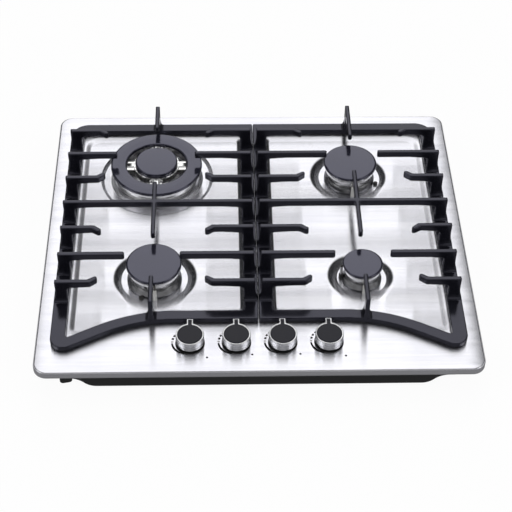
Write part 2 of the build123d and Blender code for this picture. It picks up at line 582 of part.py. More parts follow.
# support rails across the tray, under the cups, and the cup screws
with BuildPart() as burner_rails:
    for yy in (by_back, by_front):
        with BuildSketch(Plane.XY.offset(z_step + tray_t)):
            with Locations((0, yy)):
                RectangleRounded(514, 40, 4)
            for key, (cx, cy) in burner_pos.items():
                if abs(cy - yy) < 5:
                    with Locations((cx, cy)):
                        Circle(8.8, mode=Mode.SUBTRACT)
                    with Locations((cx - 13, cy), (cx + 13, cy)):
                        Circle(1.9, mode=Mode.SUBTRACT)
                    if key in ("br", "fr"):
                        with Locations((cx + thermo_off[key][0], cy + thermo_off[key][1])):
                            Circle(3.5, mode=Mode.SUBTRACT)
        extrude(amount=z_cup - z_step - tray_t)
save(burner_rails, "burner_rails")
with BuildPart() as cup_screws:
    for cx, yy in burner_pos.values():
        for xx in (cx - 13, cx + 13):
            with BuildSketch(Plane(origin=(xx, yy, 0), x_dir=(1, 0, 0), z_dir=(0, -1, 0))):
                Polygon((0, 15.4), (2.8, 15.4), (3.3, 17.0), (1.75, 17.0), (1.75, 20.8), (0, 20.8), align=None)
            revolve(axis=Axis((xx, yy, 0), (0, 0, 1)))
save(cup_screws, "cup_screws")

# ---------------------------------------------------------------------------
# gas train
# ---------------------------------------------------------------------------
man_y0, man_y1, man_z0, man_z1 = -194.0, -178.0, 16.0, 32.0
man_yc, man_zc = -186.0, 24.0
with BuildPart() as gas_manifold:
    # square rail, then a round pipe along the right side to the back
    with BuildSketch(Plane.YZ.offset(-110)):
        with Locations((man_yc, man_zc)):
            RectangleRounded(16, 16, 1.5)
            Circle(5.5, mode=Mode.SUBTRACT)
    extrude(amount=230)
    with BuildLine():
        pipe = FilletPolyline((119.5, man_yc, 26), (238, man_yc, 26), (238, 182.0, 26), radius=22)
    with BuildSketch(Plane(origin=(119.5, man_yc, 26), z_dir=(1, 0, 0))):
        Circle(6.0)
        Circle(4.5, mode=Mode.SUBTRACT)
    sweep(path=pipe)
save(gas_manifold, "gas_manifold")

with BuildPart() as gas_inlet:
    # elbow block over the raised rear corner, with a male stub pointing down
    with BuildSketch(Plane.XY.offset(z_step + tray_t)):
        with Locations((238, 196)):
            RectangleRounded(28, 28, 4)
    extrude(amount=19)
    with BuildSketch(Plane.XY.offset(z_step + tray_t)):
        with Locations((238, 196)):
            Circle(inlet_r)
    extrude(amount=-(z_step + tray_t - 1.5))
    chamfer(gas_inlet.edges().filter_by(GeomType.CIRCLE).sort_by(Axis.Z)[0], 1.0)
    # shoulder where the stub passes through the tray
    with BuildSketch(Plane.XY.offset(z_step + tray_t)):
        with Locations((238, 196)):
            Circle(inlet_r + 0.3)
    extrude(amount=-1.4)
    with BuildSketch(Plane.XY.offset(1.5)):
        with Locations((238, 196)):
            Circle(7.5)
    extrude(amount=24.5, mode=Mode.SUBTRACT)
    with BuildSketch(Plane.XZ.offset(-182.0)):
        with Locations((238, 26)):
            Circle(4.5)
    extrude(amount=-14, mode=Mode.SUBTRACT)
save(gas_inlet, "gas_inlet")

with BuildPart() as manifold_brackets:
    for xx in (-60.0, 60.0):
        with BuildSketch(Plane.YZ.offset(xx - 8)):
            Polygon((man_y0, man_z0), (man_y0, man_z0 - 1.5), (man_y1 + 1.0, man_z0 - 1.5), (man_y1 + 1.0, tray_t),
                    (man_y1 + 14, tray_t), (man_y1 + 14, tray_t + 1.5), (man_y1 + 2.5, tray_t + 1.5), (man_y1 + 2.5, man_z0), align=None)
        extrude(amount=16)
save(manifold_brackets, "manifold_brackets")

with BuildPart() as gas_taps:
    for xx in knob_x:
        with BuildSketch(Plane.XY.offset(14.0)):
            with Locations((xx, -205.0)):
                RectangleRounded(24, 22, 3)
        extrude(amount=20)
        with BuildSketch(Plane.XY.offset(34.0)):
            with Locations((xx, knob_y)):
                Circle(7.0)
        extrude(amount=6)
        with BuildSketch(Plane.XY.offset(24.0)):
            with Locations((xx, knob_y)):
                Circle(4.05)
        extrude(amount=18, mode=Mode.SUBTRACT)
save(gas_taps, "gas_taps")

for i, xx in enumerate(knob_x, 1):
    with BuildPart() as tap_collar:
        with BuildSketch(Plane.XY.offset(43.6)):
            with Locations((xx, knob_y)):
                Circle(5.6)
                Circle(spindle_r + 0.06, mode=Mode.SUBTRACT)
        extrude(amount=2.4)
    save(tap_collar, "tap_collar_%d" % i)
    with BuildPart() as tap_spindle:
        with BuildSketch(Plane.XY.offset(28.0)):
            with Locations((xx, knob_y)):
                Circle(spindle_r)
        extrude(amount=36.0)
        # flat that carries the knob
        with BuildSketch(Plane.XY.offset(54.5)):
            with Locations((xx, knob_y - spindle_r)):
                Rectangle(10, 2.4)
        extrude(amount=10, mode=Mode.SUBTRACT)
    save(tap_spindle, "tap_spindle_%d" % i)
    with BuildPart() as skirt:
        with BuildSketch(Plane(origin=(xx, knob_y, 0), x_dir=(1, 0, 0), z_dir=(0, -1, 0))):
            Polygon((0, 66.0), (0, 64.0), (spindle_r, 64.0), (spindle_r, 54.6), (6.5, 54.6), (6.5, 63.6), (16.7, 63.6), (16.7, 54.2), (knob_r + 0.1, 54.2),
                    (knob_r, 67.0), (knob_r - 0.5, 67.6), (16.5, 67.6), (16.5, 66.0), align=None)
        revolve(axis=Axis((xx, knob_y, 0), (0, 0, 1)))
        # pointer lug at the back of the shell
        with BuildSketch(Plane.XY.offset(57.5)) as lug:
            with Locations((xx, knob_y + 21.4)):
                Rectangle(8.6, 9.4)
            fillet(lug.vertices().sort_by(Axis.Y)[-2:], 1.2)
        extrude(amount=10.1)
        with BuildSketch(Plane.XY.offset(66.0)):
            with Locations((xx, knob_y + 20.0)):
                Rectangle(5.0, 14.0)
        extrude(amount=3, mode=Mode.SUBTRACT)
        # flat in the hub that matches the spindle
        with BuildSketch(Plane.XY.offset(54.6)):
            with Locations((xx, knob_y - 3.4)):
                Rectangle(5.0, 1.2)
        extrude(amount=9.4)
    save(skirt, "knob_skirt_%d" % i)
    with BuildPart() as inlay:
        with BuildSketch(Plane.XY.offset(66.0)):
            with Locations((xx, knob_y)):
                Circle(16.4)
            with Locations((xx, knob_y + 20.5)):
                Rectangle(4.9, 11.0)
        extrude(amount=1.9)
    save(inlay, "knob_inlay_%d" % i)

with BuildPart() as knob_bezels:
    with BuildSketch(Plane.XY.offset(z_top)):
        with Locations(*[(x, knob_y) for x in knob_x]):
            Circle(19.2)
            Circle(6.0, mode=Mode.SUBTRACT)
    extrude(amount=0.8)
save(knob_bezels, "knob_bezels")

# feed tubes from the taps to the cup bottoms
(xfl, yfl), (xbr, ybr), (xfr, yfr) = burner_pos["fl"], burner_pos["br"], burner_pos["fr"]
feed = {
    "fl": [(knob_x[0], knob_y, 14.0), (knob_x[0], knob_y, 6.0), (knob_x[0], -140.0, 6.0), (xfl, -118.0, 6.0), (xfl, yfl, 6.0), (xfl, yfl, 17.0)],
    "bl": [(knob_x[1], knob_y, 14.0), (knob_x[1], knob_y, 6.0), (knob_x[1], 40.0, 6.0), (-bx, 96.0, 6.0), (-bx, by_back, 6.0), (-bx, by_back, 17.0)],
    "br": [(knob_x[2], knob_y, 14.0), (knob_x[2], knob_y, 6.0), (knob_x[2], 40.0, 6.0), (xbr, 96.0, 6.0), (xbr, ybr, 6.0), (xbr, ybr, 17.0)],
    "fr": [(knob_x[3], knob_y, 14.0), (knob_x[3], knob_y, 6.0), (knob_x[3], -140.0, 6.0), (xfr, -118.0, 6.0), (xfr, yfr, 6.0), (xfr, yfr, 17.0)],
}
with BuildPart() as feed_tubes:
    for key, pts in feed.items():
        with BuildLine():
            route = FilletPolyline(*pts, radius=7.0)
        with BuildSketch(Plane(origin=pts[0], z_dir=(0, 0, -1))):
            Circle(3.0)
        sweep(path=route)
save(feed_tubes, "feed_tubes")

# ---------------------------------------------------------------------------
# electrical parts
# ---------------------------------------------------------------------------
with BuildPart() as ignition_module:
    with BuildSketch(Plane.XY.offset(tray_t)):
        with Locations((0, 190)):
            RectangleRounded(64, 40, 3)
    extrude(amount=24)
    fillet(ignition_module.faces().sort_by(Axis.Z)[-1].edges(), 1.5)
save(ignition_module, "ignition_module")
with BuildPart() as cable_gland:
    with BuildSketch(Plane(origin=(-238, 196, 0), x_dir=(1, 0, 0), z_dir=(0, -1, 0))):
        Polygon((gland_r, 5.0), (8.0, 5.0), (9.5, 7.0), (9.5, 11.0), (11.5, 11.0), (11.5, z_step), (8.0, z_step), (8.0, z_step + tray_t), (11.5, z_step + tray_t),
                (11.5, z_step + tray_t + 5), (8.0, z_step + tray_t + 5), (8.0, 28.0), (gland_r, 28.0), align=None)
    revolve(axis=Axis((-238, 196, 0), (0, 0, 1)))
save(cable_gland, "cable_gland")
with BuildPart() as ignition_switches:
    with BuildSketch(Plane.XY.offset(34.0)):
        with Locations(*[(x, knob_y - 1.0) for x in knob_x]):
            RectangleRounded(26, 20, 2)
        with Locations(*[(x, knob_y) for x in knob_x]):
            Circle(7.1, mode=Mode.SUBTRACT)
    extrude(amount=5.0)
save(ignition_switches, "ignition_switches")

wire_r = 1.4
z_ign = 14.2
z_tc = 11.2
ign = {
    "fl": [(xfl + 1.5, yfl - 37.2, 26.0), (xfl + 1.5, yfl - 37.2, z_ign), (-60.0, -90.0, z_ign), (-18.0, 40.0, z_ign), (-18.0, 170.0, z_ign)],
    "fr": [(xfr + 1.5, yfr - 27.5, 26.0), (xfr + 1.5, yfr - 27.5, z_ign), (60.0, -90.0, z_ign), (18.0, 40.0, z_ign), (18.0, 170.0, z_ign)],
    "bl": [(-bx - 38.0, by_back + 56.4, 26.0), (-bx - 38.0, by_back + 56.4, z_ign), (-100.0, 196.0, z_ign), (-32.0, 196.0, z_ign)],
    "br": [(xbr + 2.5, ybr - 38.0, 26.0), (xbr + 2.5, ybr - 38.0, z_ign), (100.0, 140.0, z_ign), (60.0, 184.0, z_ign), (32.0, 184.0, z_ign)],
}
with BuildPart() as ignition_leads:
    for key, pts in ign.items():
        with BuildLine():
            route = FilletPolyline(*pts, radius=8.0)
        with BuildSketch(Plane(origin=pts[0], z_dir=(0, 0, -1))):
            Circle(wire_r)
        sweep(path=route)
save(ignition_leads, "ignition_leads")
tc = {
    "fl": [(xfl - 17.0, yfl - 36.4, 30.0), (xfl - 17.0, yfl - 36.4, z_tc), (-160.0, -170.0, z_tc), (-125.0, -205.0, z_tc), (-108.0, -205.0, z_tc), (-108.0, -205.0, 24.0)],
    "bl": [(-bx + 38.0, by_back + 56.4, 30.0), (-bx + 38.0, by_back + 56.4, z_tc), (-78.0, 120.0, z_tc), (-46.0, 30.0, z_tc), (-46.0, -205.0, z_tc), (-46.0, -205.0, 24.0)],
    "br": [(xbr + 37.6, ybr - 14.2, 30.0), (xbr + 37.6, ybr - 14.2, z_tc), (150.0, 60.0, z_tc), (46.0, 10.0, z_tc), (46.0, -205.0, z_tc), (46.0, -205.0, 24.0)],
    "fr": [(xfr - 28.2, yfr + 1.5, 30.0), (xfr - 28.2, yfr + 1.5, z_tc), (106.0, -130.0, z_tc), (106.0, -205.0, z_tc), (106.0, -205.0, 24.0)],
}
with BuildPart() as thermocouple_leads:
    for key, pts in tc.items():
        with BuildLine():
            route = FilletPolyline(*pts, radius=6.0)
        with BuildSketch(Plane(origin=pts[0], z_dir=(0, 0, -1))):
            Circle(1.1)
        sweep(path=route)
save(thermocouple_leads, "thermocouple_leads")
with BuildPart() as switch_harness:
    # loop between the switches, then back to the module
    for xa, xb in ((knob_x[0] + 13, knob_x[1] - 13), (knob_x[1] + 13, knob_x[2] - 13), (knob_x[2] + 13, knob_x[3] - 13)):
        with BuildSketch(Plane.YZ.offset(xa)):
            with Locations((knob_y - 6, 36.5)):
                Circle(wire_r)
        extrude(amount=xb - xa)
    with BuildLine():
        route = FilletPolyline((knob_x[1], knob_y + 9.0, 36.5), (knob_x[1], -150.0, 36.5), (0.0, -110.0, 24.0), (0.0, 150.0, 21.5), (0.0, 170.0, 21.5), radius=5.0)
    with BuildSketch(Plane(origin=(knob_x[1], knob_y + 9.0, 36.5), z_dir=(0, 1, 0))):
        Circle(wire_r)
    sweep(path=route)
save(switch_harness, "switch_harness")
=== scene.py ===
import json
from math import acos, asin, atan2, cos, degrees, pi, radians, sin, sqrt, tan

import bpy
import numpy as np
from mathutils import Matrix, Vector, geometry


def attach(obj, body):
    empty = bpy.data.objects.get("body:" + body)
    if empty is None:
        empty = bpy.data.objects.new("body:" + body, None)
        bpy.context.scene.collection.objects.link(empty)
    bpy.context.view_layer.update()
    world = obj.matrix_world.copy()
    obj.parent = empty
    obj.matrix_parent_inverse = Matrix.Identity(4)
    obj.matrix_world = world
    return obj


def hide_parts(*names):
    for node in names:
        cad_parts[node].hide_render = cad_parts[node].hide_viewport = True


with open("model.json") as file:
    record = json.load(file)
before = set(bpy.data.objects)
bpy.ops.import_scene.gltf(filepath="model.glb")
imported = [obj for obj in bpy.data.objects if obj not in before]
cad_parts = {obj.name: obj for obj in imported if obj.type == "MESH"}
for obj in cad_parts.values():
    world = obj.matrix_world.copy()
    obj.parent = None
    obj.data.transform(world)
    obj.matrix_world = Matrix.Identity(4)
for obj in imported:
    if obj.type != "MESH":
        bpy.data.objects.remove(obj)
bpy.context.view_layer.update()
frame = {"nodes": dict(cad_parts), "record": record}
nodes = frame["nodes"]

scene = bpy.context.scene
scene.view_settings.view_transform = "Standard"
scene.view_settings.look = "None"
scene.view_settings.exposure = 0.0
scene.view_settings.gamma = 1.0
MM = 0.001

# ---------------------------------------------------------------------------
# camera at the photograph's place
# ---------------------------------------------------------------------------
CAM = Vector((-0.05057, -1.37254, 1.39123))
PITCH, YAW, ROLL, FOCAL = radians(45.308), radians(2.148), radians(1.077), 1371.42
fwd = Vector((sin(YAW) * cos(PITCH), cos(YAW) * cos(PITCH), -sin(PITCH)))
right0 = Vector((cos(YAW), -sin(YAW), 0))
up0 = right0.cross(fwd)
cam_x = cos(ROLL) * right0 + sin(ROLL) * up0
cam_y = -sin(ROLL) * right0 + cos(ROLL) * up0
cam_data = bpy.data.cameras.new("camera")
cam_data.sensor_width = 36.0
cam_data.lens = FOCAL * 36.0 / 512.0
cam_data.clip_start, cam_data.clip_end = 0.05, 60.0
cam = bpy.data.objects.new("camera", cam_data)
scene.collection.objects.link(cam)
m = Matrix((cam_x, cam_y, -fwd)).transposed().to_4x4()
m.translation = CAM
cam.matrix_world = m
scene.camera = cam


# ---------------------------------------------------------------------------
# materials
# ---------------------------------------------------------------------------
class Mat:
    """A node material around one Principled shader."""

    def __init__(self, name, base, rough, metal=0.0, **sockets):
        self.m = bpy.data.materials.new(name)
        self.m.use_nodes = True
        self.m.diffuse_color = (*base[:3], 1.0)
        self.t = self.m.node_tree
        self.b = self.t.nodes["Principled BSDF"]
        self.b.inputs["Base Color"].default_value = (*base[:3], 1.0)
        self.b.inputs["Roughness"].default_value = rough
        self.b.inputs["Metallic"].default_value = metal
        for k, v in sockets.items():
            self.b.inputs[k.replace("_", " ")].default_value = v
        self.coord = None
        self.base = base
        self.rough = rough

    def add(self, kind, **props):
        n = self.t.nodes.new(kind)
        for k, v in props.items():
            setattr(n, k, v)
        return n

    def link(self, a, b):
        self.t.links.new(a, b)

    def place(self, scale=(1, 1, 1)):
        """Object coordinates in metres, scaled per axis."""
        if self.coord is None:
            self.coord = self.add("ShaderNodeTexCoord")
        mp = self.add("ShaderNodeMapping")
        mp.inputs["Scale"].default_value = scale
        self.link(self.coord.outputs["Object"], mp.inputs["Vector"])
        return mp.outputs["Vector"]

    def noise(self, scale, detail=3.0, stretch=(1, 1, 1), rough=0.55):
        n = self.add("ShaderNodeTexNoise")
        n.inputs["Scale"].default_value = scale
        n.inputs["Detail"].default_value = detail
        n.inputs["Roughness"].default_value = rough
        self.link(self.place(stretch), n.inputs["Vector"])
        return n.outputs["Fac"]

    def ramp(self, fac, lo, hi, c0, c1):
        r = self.add("ShaderNodeMapRange")
        r.clamp = True
        r.inputs["From Min"].default_value = lo
        r.inputs["From Max"].default_value = hi
        r.inputs["To Min"].default_value = c0
        r.inputs["To Max"].default_value = c1
        self.link(fac, r.inputs["Value"])
        return r.outputs["Result"]

    def tint(self, fac, c0, c1):
        x = self.add("ShaderNodeMix", data_type="RGBA")
        x.inputs["A"].default_value = (*c0, 1)
        x.inputs["B"].default_value = (*c1, 1)
        self.link(fac, x.inputs["Factor"])
        self.link(x.outputs["Result"], self.b.inputs["Base Color"])
        return x.outputs["Result"]

    def roughness(self, fac, lo, hi):
        self.link(self.ramp(fac, 0.3, 0.7, lo, hi), self.b.inputs["Roughness"])

    def bump(self, *layers):
        """layers of (height output, distance in metres, strength)"""
        prev = None
        for h, dist, strength in layers:
            n = self.add("ShaderNodeBump")
            n.inputs["Strength"].default_value = strength
            n.inputs["Distance"].default_value = dist
            self.link(h, n.inputs["Height"])
            if prev is not None:
                self.link(prev, n.inputs["Normal"])
            prev = n.outputs["Normal"]
        self.link(prev, self.b.inputs["Normal"])


def m_plate():
    """satin stainless, ground along X, so that reflections spread across the grain"""
    a = Mat("plate_steel", (0.80, 0.805, 0.83), 0.30, 1.0, Anisotropic=1.0)
    grain = a.noise(1.0, 2.0, (22, 2600, 2600), 0.6)
    broad = a.noise(9.0, 2.0)
    streak = a.noise(1.0, 3.0, (2.2, 95, 95), 0.6)
    both = a.add("ShaderNodeMath", operation="ADD")
    a.link(a.ramp(streak, 0.32, 0.68, 0.0, 0.65), both.inputs[0])
    a.link(a.ramp(broad, 0.3, 0.7, 0.0, 0.35), both.inputs[1])
    a.tint(both.outputs[0], (0.70, 0.70, 0.755), (0.83, 0.83, 0.87))
    a.roughness(grain, 0.21, 0.27)
    g = a.add("ShaderNodeNewGeometry")
    c = a.add("ShaderNodeVectorMath", operation="CROSS_PRODUCT")
    c.inputs[1].default_value = (1, 0, 0)
    a.link(g.outputs["Normal"], c.inputs[0])
    a.link(c.outputs["Vector"], a.b.inputs["Tangent"])
    a.bump((grain, 0.00002, 0.35), (broad, 0.0006, 0.12))
    return a.m


def m_enamel(name, base, rough, ior, peel=0.25, scale=260.0):
    a = Mat(name, base, rough, 0.0, IOR=ior, Specular_Tint=(0.80, 0.80, 1.0, 1.0))
    fine = a.noise(scale, 2.0)
    slow = a.noise(35.0, 2.0)
    a.tint(a.ramp(slow, 0.35, 0.65, 0.0, 1.0), tuple(v * 0.88 for v in base), tuple(v * 1.12 for v in base))
    a.roughness(slow, rough * 0.85, rough * 1.2)
    a.bump((fine, 0.00006, peel), (slow, 0.0004, peel * 0.5))
    return a.m


def m_cast(name, base, rough, grit=900.0, strength=0.25):
    """metal with a slightly grainy surface"""
    a = Mat(name, base, rough, 1.0)
    fine = a.noise(grit, 3.0)
    slow = a.noise(60.0, 2.0)
    a.tint(a.ramp(slow, 0.3, 0.7, 0.0, 1.0), tuple(v * 0.92 for v in base), tuple(min(1.0, v * 1.05) for v in base))
    a.roughness(slow, rough * 0.85, min(1.0, rough * 1.2))
    a.bump((fine, 0.00005, strength))
    return a.m


def m_turned(name, base, rough, aniso=0.6, pitch=2500.0):
    """metal turned or brushed round the vertical axis of its own object"""
    a = Mat(name, base, rough, 1.0, Anisotropic=aniso)
    fine = a.noise(1.0, 2.0, (40, 40, pitch))
    slow = a.noise(70.0, 2.0)
    a.tint(a.ramp(slow, 0.3, 0.7, 0.0, 1.0), tuple(v * 0.94 for v in base), tuple(min(1.0, v * 1.04) for v in base))
    a.roughness(fine, rough * 0.85, min(1.0, rough * 1.15))
    t = a.add("ShaderNodeTangent", direction_type="RADIAL", axis="Z")
    a.link(t.outputs["Tangent"], a.b.inputs["Tangent"])
    a.bump((fine, 0.00002, 0.25))
    return a.m


def m_plain(name, base, rough, metal=0.0, grit=500.0, dist=0.00005, strength=0.3, vary=0.12, **kw):
    """moulded, coated or plated surface with a little grain and tone"""
    a = Mat(name, base, rough, metal, **kw)
    fine = a.noise(grit, 3.0)
    slow = a.noise(45.0, 2.0)
    a.tint(a.ramp(slow, 0.3, 0.7, 0.0, 1.0), tuple(v * (1 - vary) for v in base), tuple(min(1.0, v * (1 + vary)) for v in base))
    a.roughness(slow, rough * 0.9, min(1.0, rough * 1.12))
    a.bump((fine, dist, strength))
    return a.m


M = {
    "plate_steel": m_plate(),
    "gasket_foam": m_plain("gasket_foam", (0.035, 0.035, 0.04), 0.85, grit=1400, dist=0.0002, strength=0.6),
    "tray_black": m_plain("tray_black", (0.016, 0.016, 0.017), 0.33, grit=700, strength=0.2),
    "clamp_black": m_plain("clamp_black", (0.015, 0.015, 0.016), 0.4, grit=900, strength=0.3),
    "plated_steel": m_plain("plated_steel", (0.62, 0.63, 0.64), 0.32, 1.0, grit=600),
    "grate_enamel": m_enamel("grate_enamel", (0.011, 0.011, 0.016), 0.17, 1.58, 0.28, 300.0),
    "feet_rubber": m_plain("feet_rubber", (0.02, 0.02, 0.02), 0.8),
    "burner_alloy": m_turned("burner_alloy", (0.86, 0.86, 0.86), 0.19, 0.3, 1800.0),
    # cup_alloy is the heads' alloy painted much darker, as painted shade beneath the burner heads; bowl_alloy is a
    # lighter copy of the same alloy for the triple-crown cup
    "cup_alloy": m_turned("cup_alloy", (0.24, 0.24, 0.25), 0.24, 0.2, 1500.0),
    "bowl_alloy": m_turned("bowl_alloy", (0.68, 0.68, 0.70), 0.26, 0.2, 1500.0),
    "cap_enamel": m_enamel("cap_enamel", (0.022, 0.022, 0.036), 0.12, 1.80, 0.10, 500.0),
    "brass": m_turned("brass", (0.80, 0.62, 0.28), 0.28),
    "inlet_brass": m_cast("inlet_brass", (0.78, 0.62, 0.30), 0.30),
    "tap_alloy": m_cast("tap_alloy", (0.68, 0.68, 0.69), 0.42, 700, 0.5),
    "tube_alloy": m_cast("tube_alloy", (0.74, 0.74, 0.75), 0.30),
    "spindle_steel": m_cast("spindle_steel", (0.68, 0.68, 0.69), 0.28),
    "collar_plastic": m_plain("collar_plastic", (0.82, 0.82, 0.79), 0.45),
    "knob_metal": m_turned("knob_metal", (0.80, 0.805, 0.82), 0.25, 0.6, 2600.0),
    "knob_black": m_plain("knob_black", (0.009, 0.009, 0.018), 0.30, grit=1500, dist=0.00003, strength=0.3, IOR=1.34),
    "bezel_black": m_plain("bezel_black", (0.012, 0.012, 0.012), 0.5),
    "ceramic_white": m_plain("ceramic_white", (0.86, 0.85, 0.82), 0.12, strength=0.1),
    "pin_steel": m_cast("pin_steel", (0.22, 0.21, 0.20), 0.35),
    "module_plastic": m_plain("module_plastic", (0.78, 0.78, 0.74), 0.5),
    "gland_plastic": m_plain("gland_plastic", (0.02, 0.02, 0.02), 0.45),
    "lead_silicone": m_plain("lead_silicone", (0.72, 0.71, 0.67), 0.55),
    "copper_lead": m_cast("copper_lead", (0.75, 0.45, 0.30), 0.33),
    "sensor_dark": m_plain("sensor_dark", (0.030, 0.028, 0.027), 0.35, 0.0),
    "print_black": m_plain("print_black", (0.006, 0.006, 0.006), 0.6, IOR=1.2),
    "print_pale": m_plain("print_pale", (0.62, 0.60, 0.58), 0.45),
}
node_slot = {s["node"]: s["material_slot"] for s in frame["record"]["subparts"]}

# every carried-over node gets its slot's material, with clean edges
SOFT_EDGE = {"base_tray": 0.0007, "clamp_fl": 0.0005, "clamp_fr": 0.0005, "clamp_bl": 0.0005, "clamp_br": 0.0005, "gas_inlet": 0.0006,
             "cable_gland": 0.0005, "clamp_screws": 0.0003, "gas_taps": 0.0006, "ignition_switches": 0.0004, "manifold_brackets": 0.0003}
for name, ob in nodes.items():
    ob.data.materials.clear()
    ob.data.materials.append(M[node_slot[name]])
    w = ob.modifiers.new("weld", "WELD")
    w.merge_threshold = 0.00001
    if name in SOFT_EDGE:
        d = ob.modifiers.new("flat", "DECIMATE")
        d.decimate_type = "DISSOLVE"
        d.angle_limit = radians(1.0)
        b = ob.modifiers.new("edge", "BEVEL")
        b.width = SOFT_EDGE[name]
        b.segments = 2
        b.limit_method = "ANGLE"
        b.angle_limit = radians(40)
        b.harden_normals = True


# ---------------------------------------------------------------------------
# mesh helpers; lengths in millimetres
# ---------------------------------------------------------------------------
def make(name, co, faces, slot, origin=(0, 0, 0), smooth=True, sharp=35.0):
    me = bpy.data.meshes.new(name)
    me.from_pydata([tuple(float(v) * MM for v in c) for c in co], [], [tuple(int(i) for i in f) for f in faces])
    me.validate()
    if smooth:
        me.shade_smooth()
        if sharp:
            me.set_sharp_from_angle(angle=radians(sharp))
    ob = bpy.data.objects.new(name, me)
    scene.collection.objects.link(ob)
    ob.location = [v * MM for v in origin]
    me.materials.append(M[slot] if slot in M else None)
    return ob


def rounded(pts, closed=True, seg=4):
    """pts of (a, b, radius): corners replaced with arcs, in the order given."""
    out = []
    n = len(pts)
    for k in range(n):
        p = np.array(pts[k][:2], float)
        r = pts[k][2] if len(pts[k]) > 2 else 0.0
        if r <= 0 or (not closed and k in (0, n - 1)):
            out.append(tuple(p))
            continue
        a, c = np.array(pts[k - 1][:2], float), np.array(pts[(k + 1) % n][:2], float)
        u, v = a - p, c - p
        lu, lv = np.linalg.norm(u), np.linalg.norm(v)
        u, v = u / lu, v / lv
        half = acos(max(-1.0, min(1.0, float(u @ v)))) / 2
        if half > pi / 2 - 0.02:
            out.append(tuple(p))
            continue
        t = min(r / tan(half), lu * 0.49, lv * 0.49)
        r = t * tan(half)
        bis = (u + v) / np.linalg.norm(u + v)
        cen = p + bis * (r / sin(half))
        s, e = p + u * t, p + v * t
        a0 = atan2(*(s - cen)[::-1])
        a1 = atan2(*(e - cen)[::-1])
        d = (a1 - a0 + pi) % (2 * pi) - pi
        m = max(2, int(round(seg * abs(d) / (pi / 2))) + 1)
        for j in range(m + 1):
            w = a0 + d * j / m
            out.append((cen[0] + r * cos(w), cen[1] + r * sin(w)))
    return out


def lathe(name, pts, slot, origin, n=160, seg=4, sharp=35.0, closed=True):
    """Surface of revolution about Z of a profile of (r, z, radius)."""
    prof = rounded(pts, closed, seg)
    co, rings = [], []
    for r, z in prof:
        if r < 1e-6:
            rings.append([len(co)])
            co.append((0, 0, z))
        else:
            base = len(co)
            rings.append(list(range(base, base + n)))
            co += [(r * cos(2 * pi * k / n), r * sin(2 * pi * k / n), z) for k in range(n)]
    faces = []
    m = len(rings)
    for i in range(m if closed else m - 1):
        a, b = rings[i], rings[(i + 1) % m]
        if len(a) == 1 and len(b) == 1:
            continue
        for k in range(n):
            j = (k + 1) % n
            if len(a) == 1:
                faces.append((a[0], b[j], b[k]))
            elif len(b) == 1:
                faces.append((a[k], a[j], b[0]))
            else:
                faces.append((a[k], a[j], b[j], b[k]))
    return make(name, co, faces, slot, origin, True, sharp)


def fix_normals(ob):
    import bmesh

    bm = bmesh.new()
    bm.from_mesh(ob.data)
    bmesh.ops.recalc_face_normals(bm, faces=bm.faces)
    bm.to_mesh(ob.data)
    bm.free()
    return ob


def join(obs, name):
    """Joins meshes that share a place into the first."""
    bpy.context.view_layer.update()
    base = obs[0]
    inv = base.matrix_world.inverted()
    co, faces, mats, idx, smooth, edges = [], [], [], [], [], []
    for o in obs:
        off = len(co)
        mw = inv @ o.matrix_world
        co += [mw @ v.co for v in o.data.vertices]
        for p in o.data.polygons:
            faces.append([off + i for i in p.vertices])
            mt = o.data.materials[p.material_index]
            if mt not in mats:
                mats.append(mt)
            idx.append(mats.index(mt))
    me = bpy.data.meshes.new(name)
    me.from_pydata([tuple(c) for c in co], [], faces)
    for mt in mats:
        me.materials.append(mt)
    for p, i in zip(me.polygons, idx):
        p.material_index = i
    me.shade_smooth()
    me.set_sharp_from_angle(angle=radians(35))
    base.data = me
    base.name = name
    for o in obs[1:]:
        bpy.data.objects.remove(o)
    return base


# ---------------------------------------------------------------------------
# top plate
# ---------------------------------------------------------------------------
PLATE_W, PLATE_D, PLATE_R, Z_TOP = 580.0, 506.0, 18.0, 50.0
BURNERS = {"fl": (-139.3, -82.5), "br": (139.4, 119.4), "fr": (142.2, -83.3), "bl": (-141.0, 119.4)}
CAP_R = {"fl": 37.3, "br": 38.0, "fr": 27.1}
CUP_R = {"fl": 27.0, "br": 27.0, "fr": 19.0, "bl": 54.0}
FLANGE = {"fl": 37.0, "br": 36.4, "fr": 27.0}
WELL_BEND = {"fl": 61.5, "br": 60.5, "fr": 49.5, "bl": 81.4}   # where the bend into each well begins
WELL_WALL = {"fl": 50.5, "br": 50.0, "fr": 39.0, "bl": 81.0}
WELL_FLOOR = {"fl": 45.0, "br": 44.4, "fr": 33.6, "bl": 76.8}
ELECTRODE = {"fl": (1.5, -37.2), "br": (2.5, -38.0), "fr": (1.5, -27.5), "bl": (-38.0, 56.4)}
THERMO = {"fl": (-17.0, -36.4), "br": (37.6, -14.2), "fr": (-28.2, 1.5), "bl": (38.0, 56.4)}
KNOB_X, KNOB_Y = (-90.0, -30.0, 30.0, 90.0), -204.0
REC_DEPTH, REC_WALL, WELL_SLOPE, Z_SEAT = 2.5, 9.0, 0.42, 43.25
RECESS = [(15.5, -152.5, 13), (112.0, -152.5, 150), (160.0, -159.0, 150), (205.0, -176.0, 150), (249.0, -198.5, 16), (249.0, 206.5, 24), (15.5, 206.5, 13)]


def offset_loop(pts, d):
    """A closed anticlockwise loop, moved inwards by d, point by point."""
    p = np.array(pts, float)
    e0 = p - np.roll(p, 1, 0)
    e1 = np.roll(p, -1, 0) - p
    n0 = np.stack([-e0[:, 1], e0[:, 0]], 1) / np.linalg.norm(e0, axis=1)[:, None]
    n1 = np.stack([-e1[:, 1], e1[:, 0]], 1) / np.linalg.norm(e1, axis=1)[:, None]
    k = 1.0 + (n0 * n1).sum(1)
    return p + d * (n0 + n1) / k[:, None]


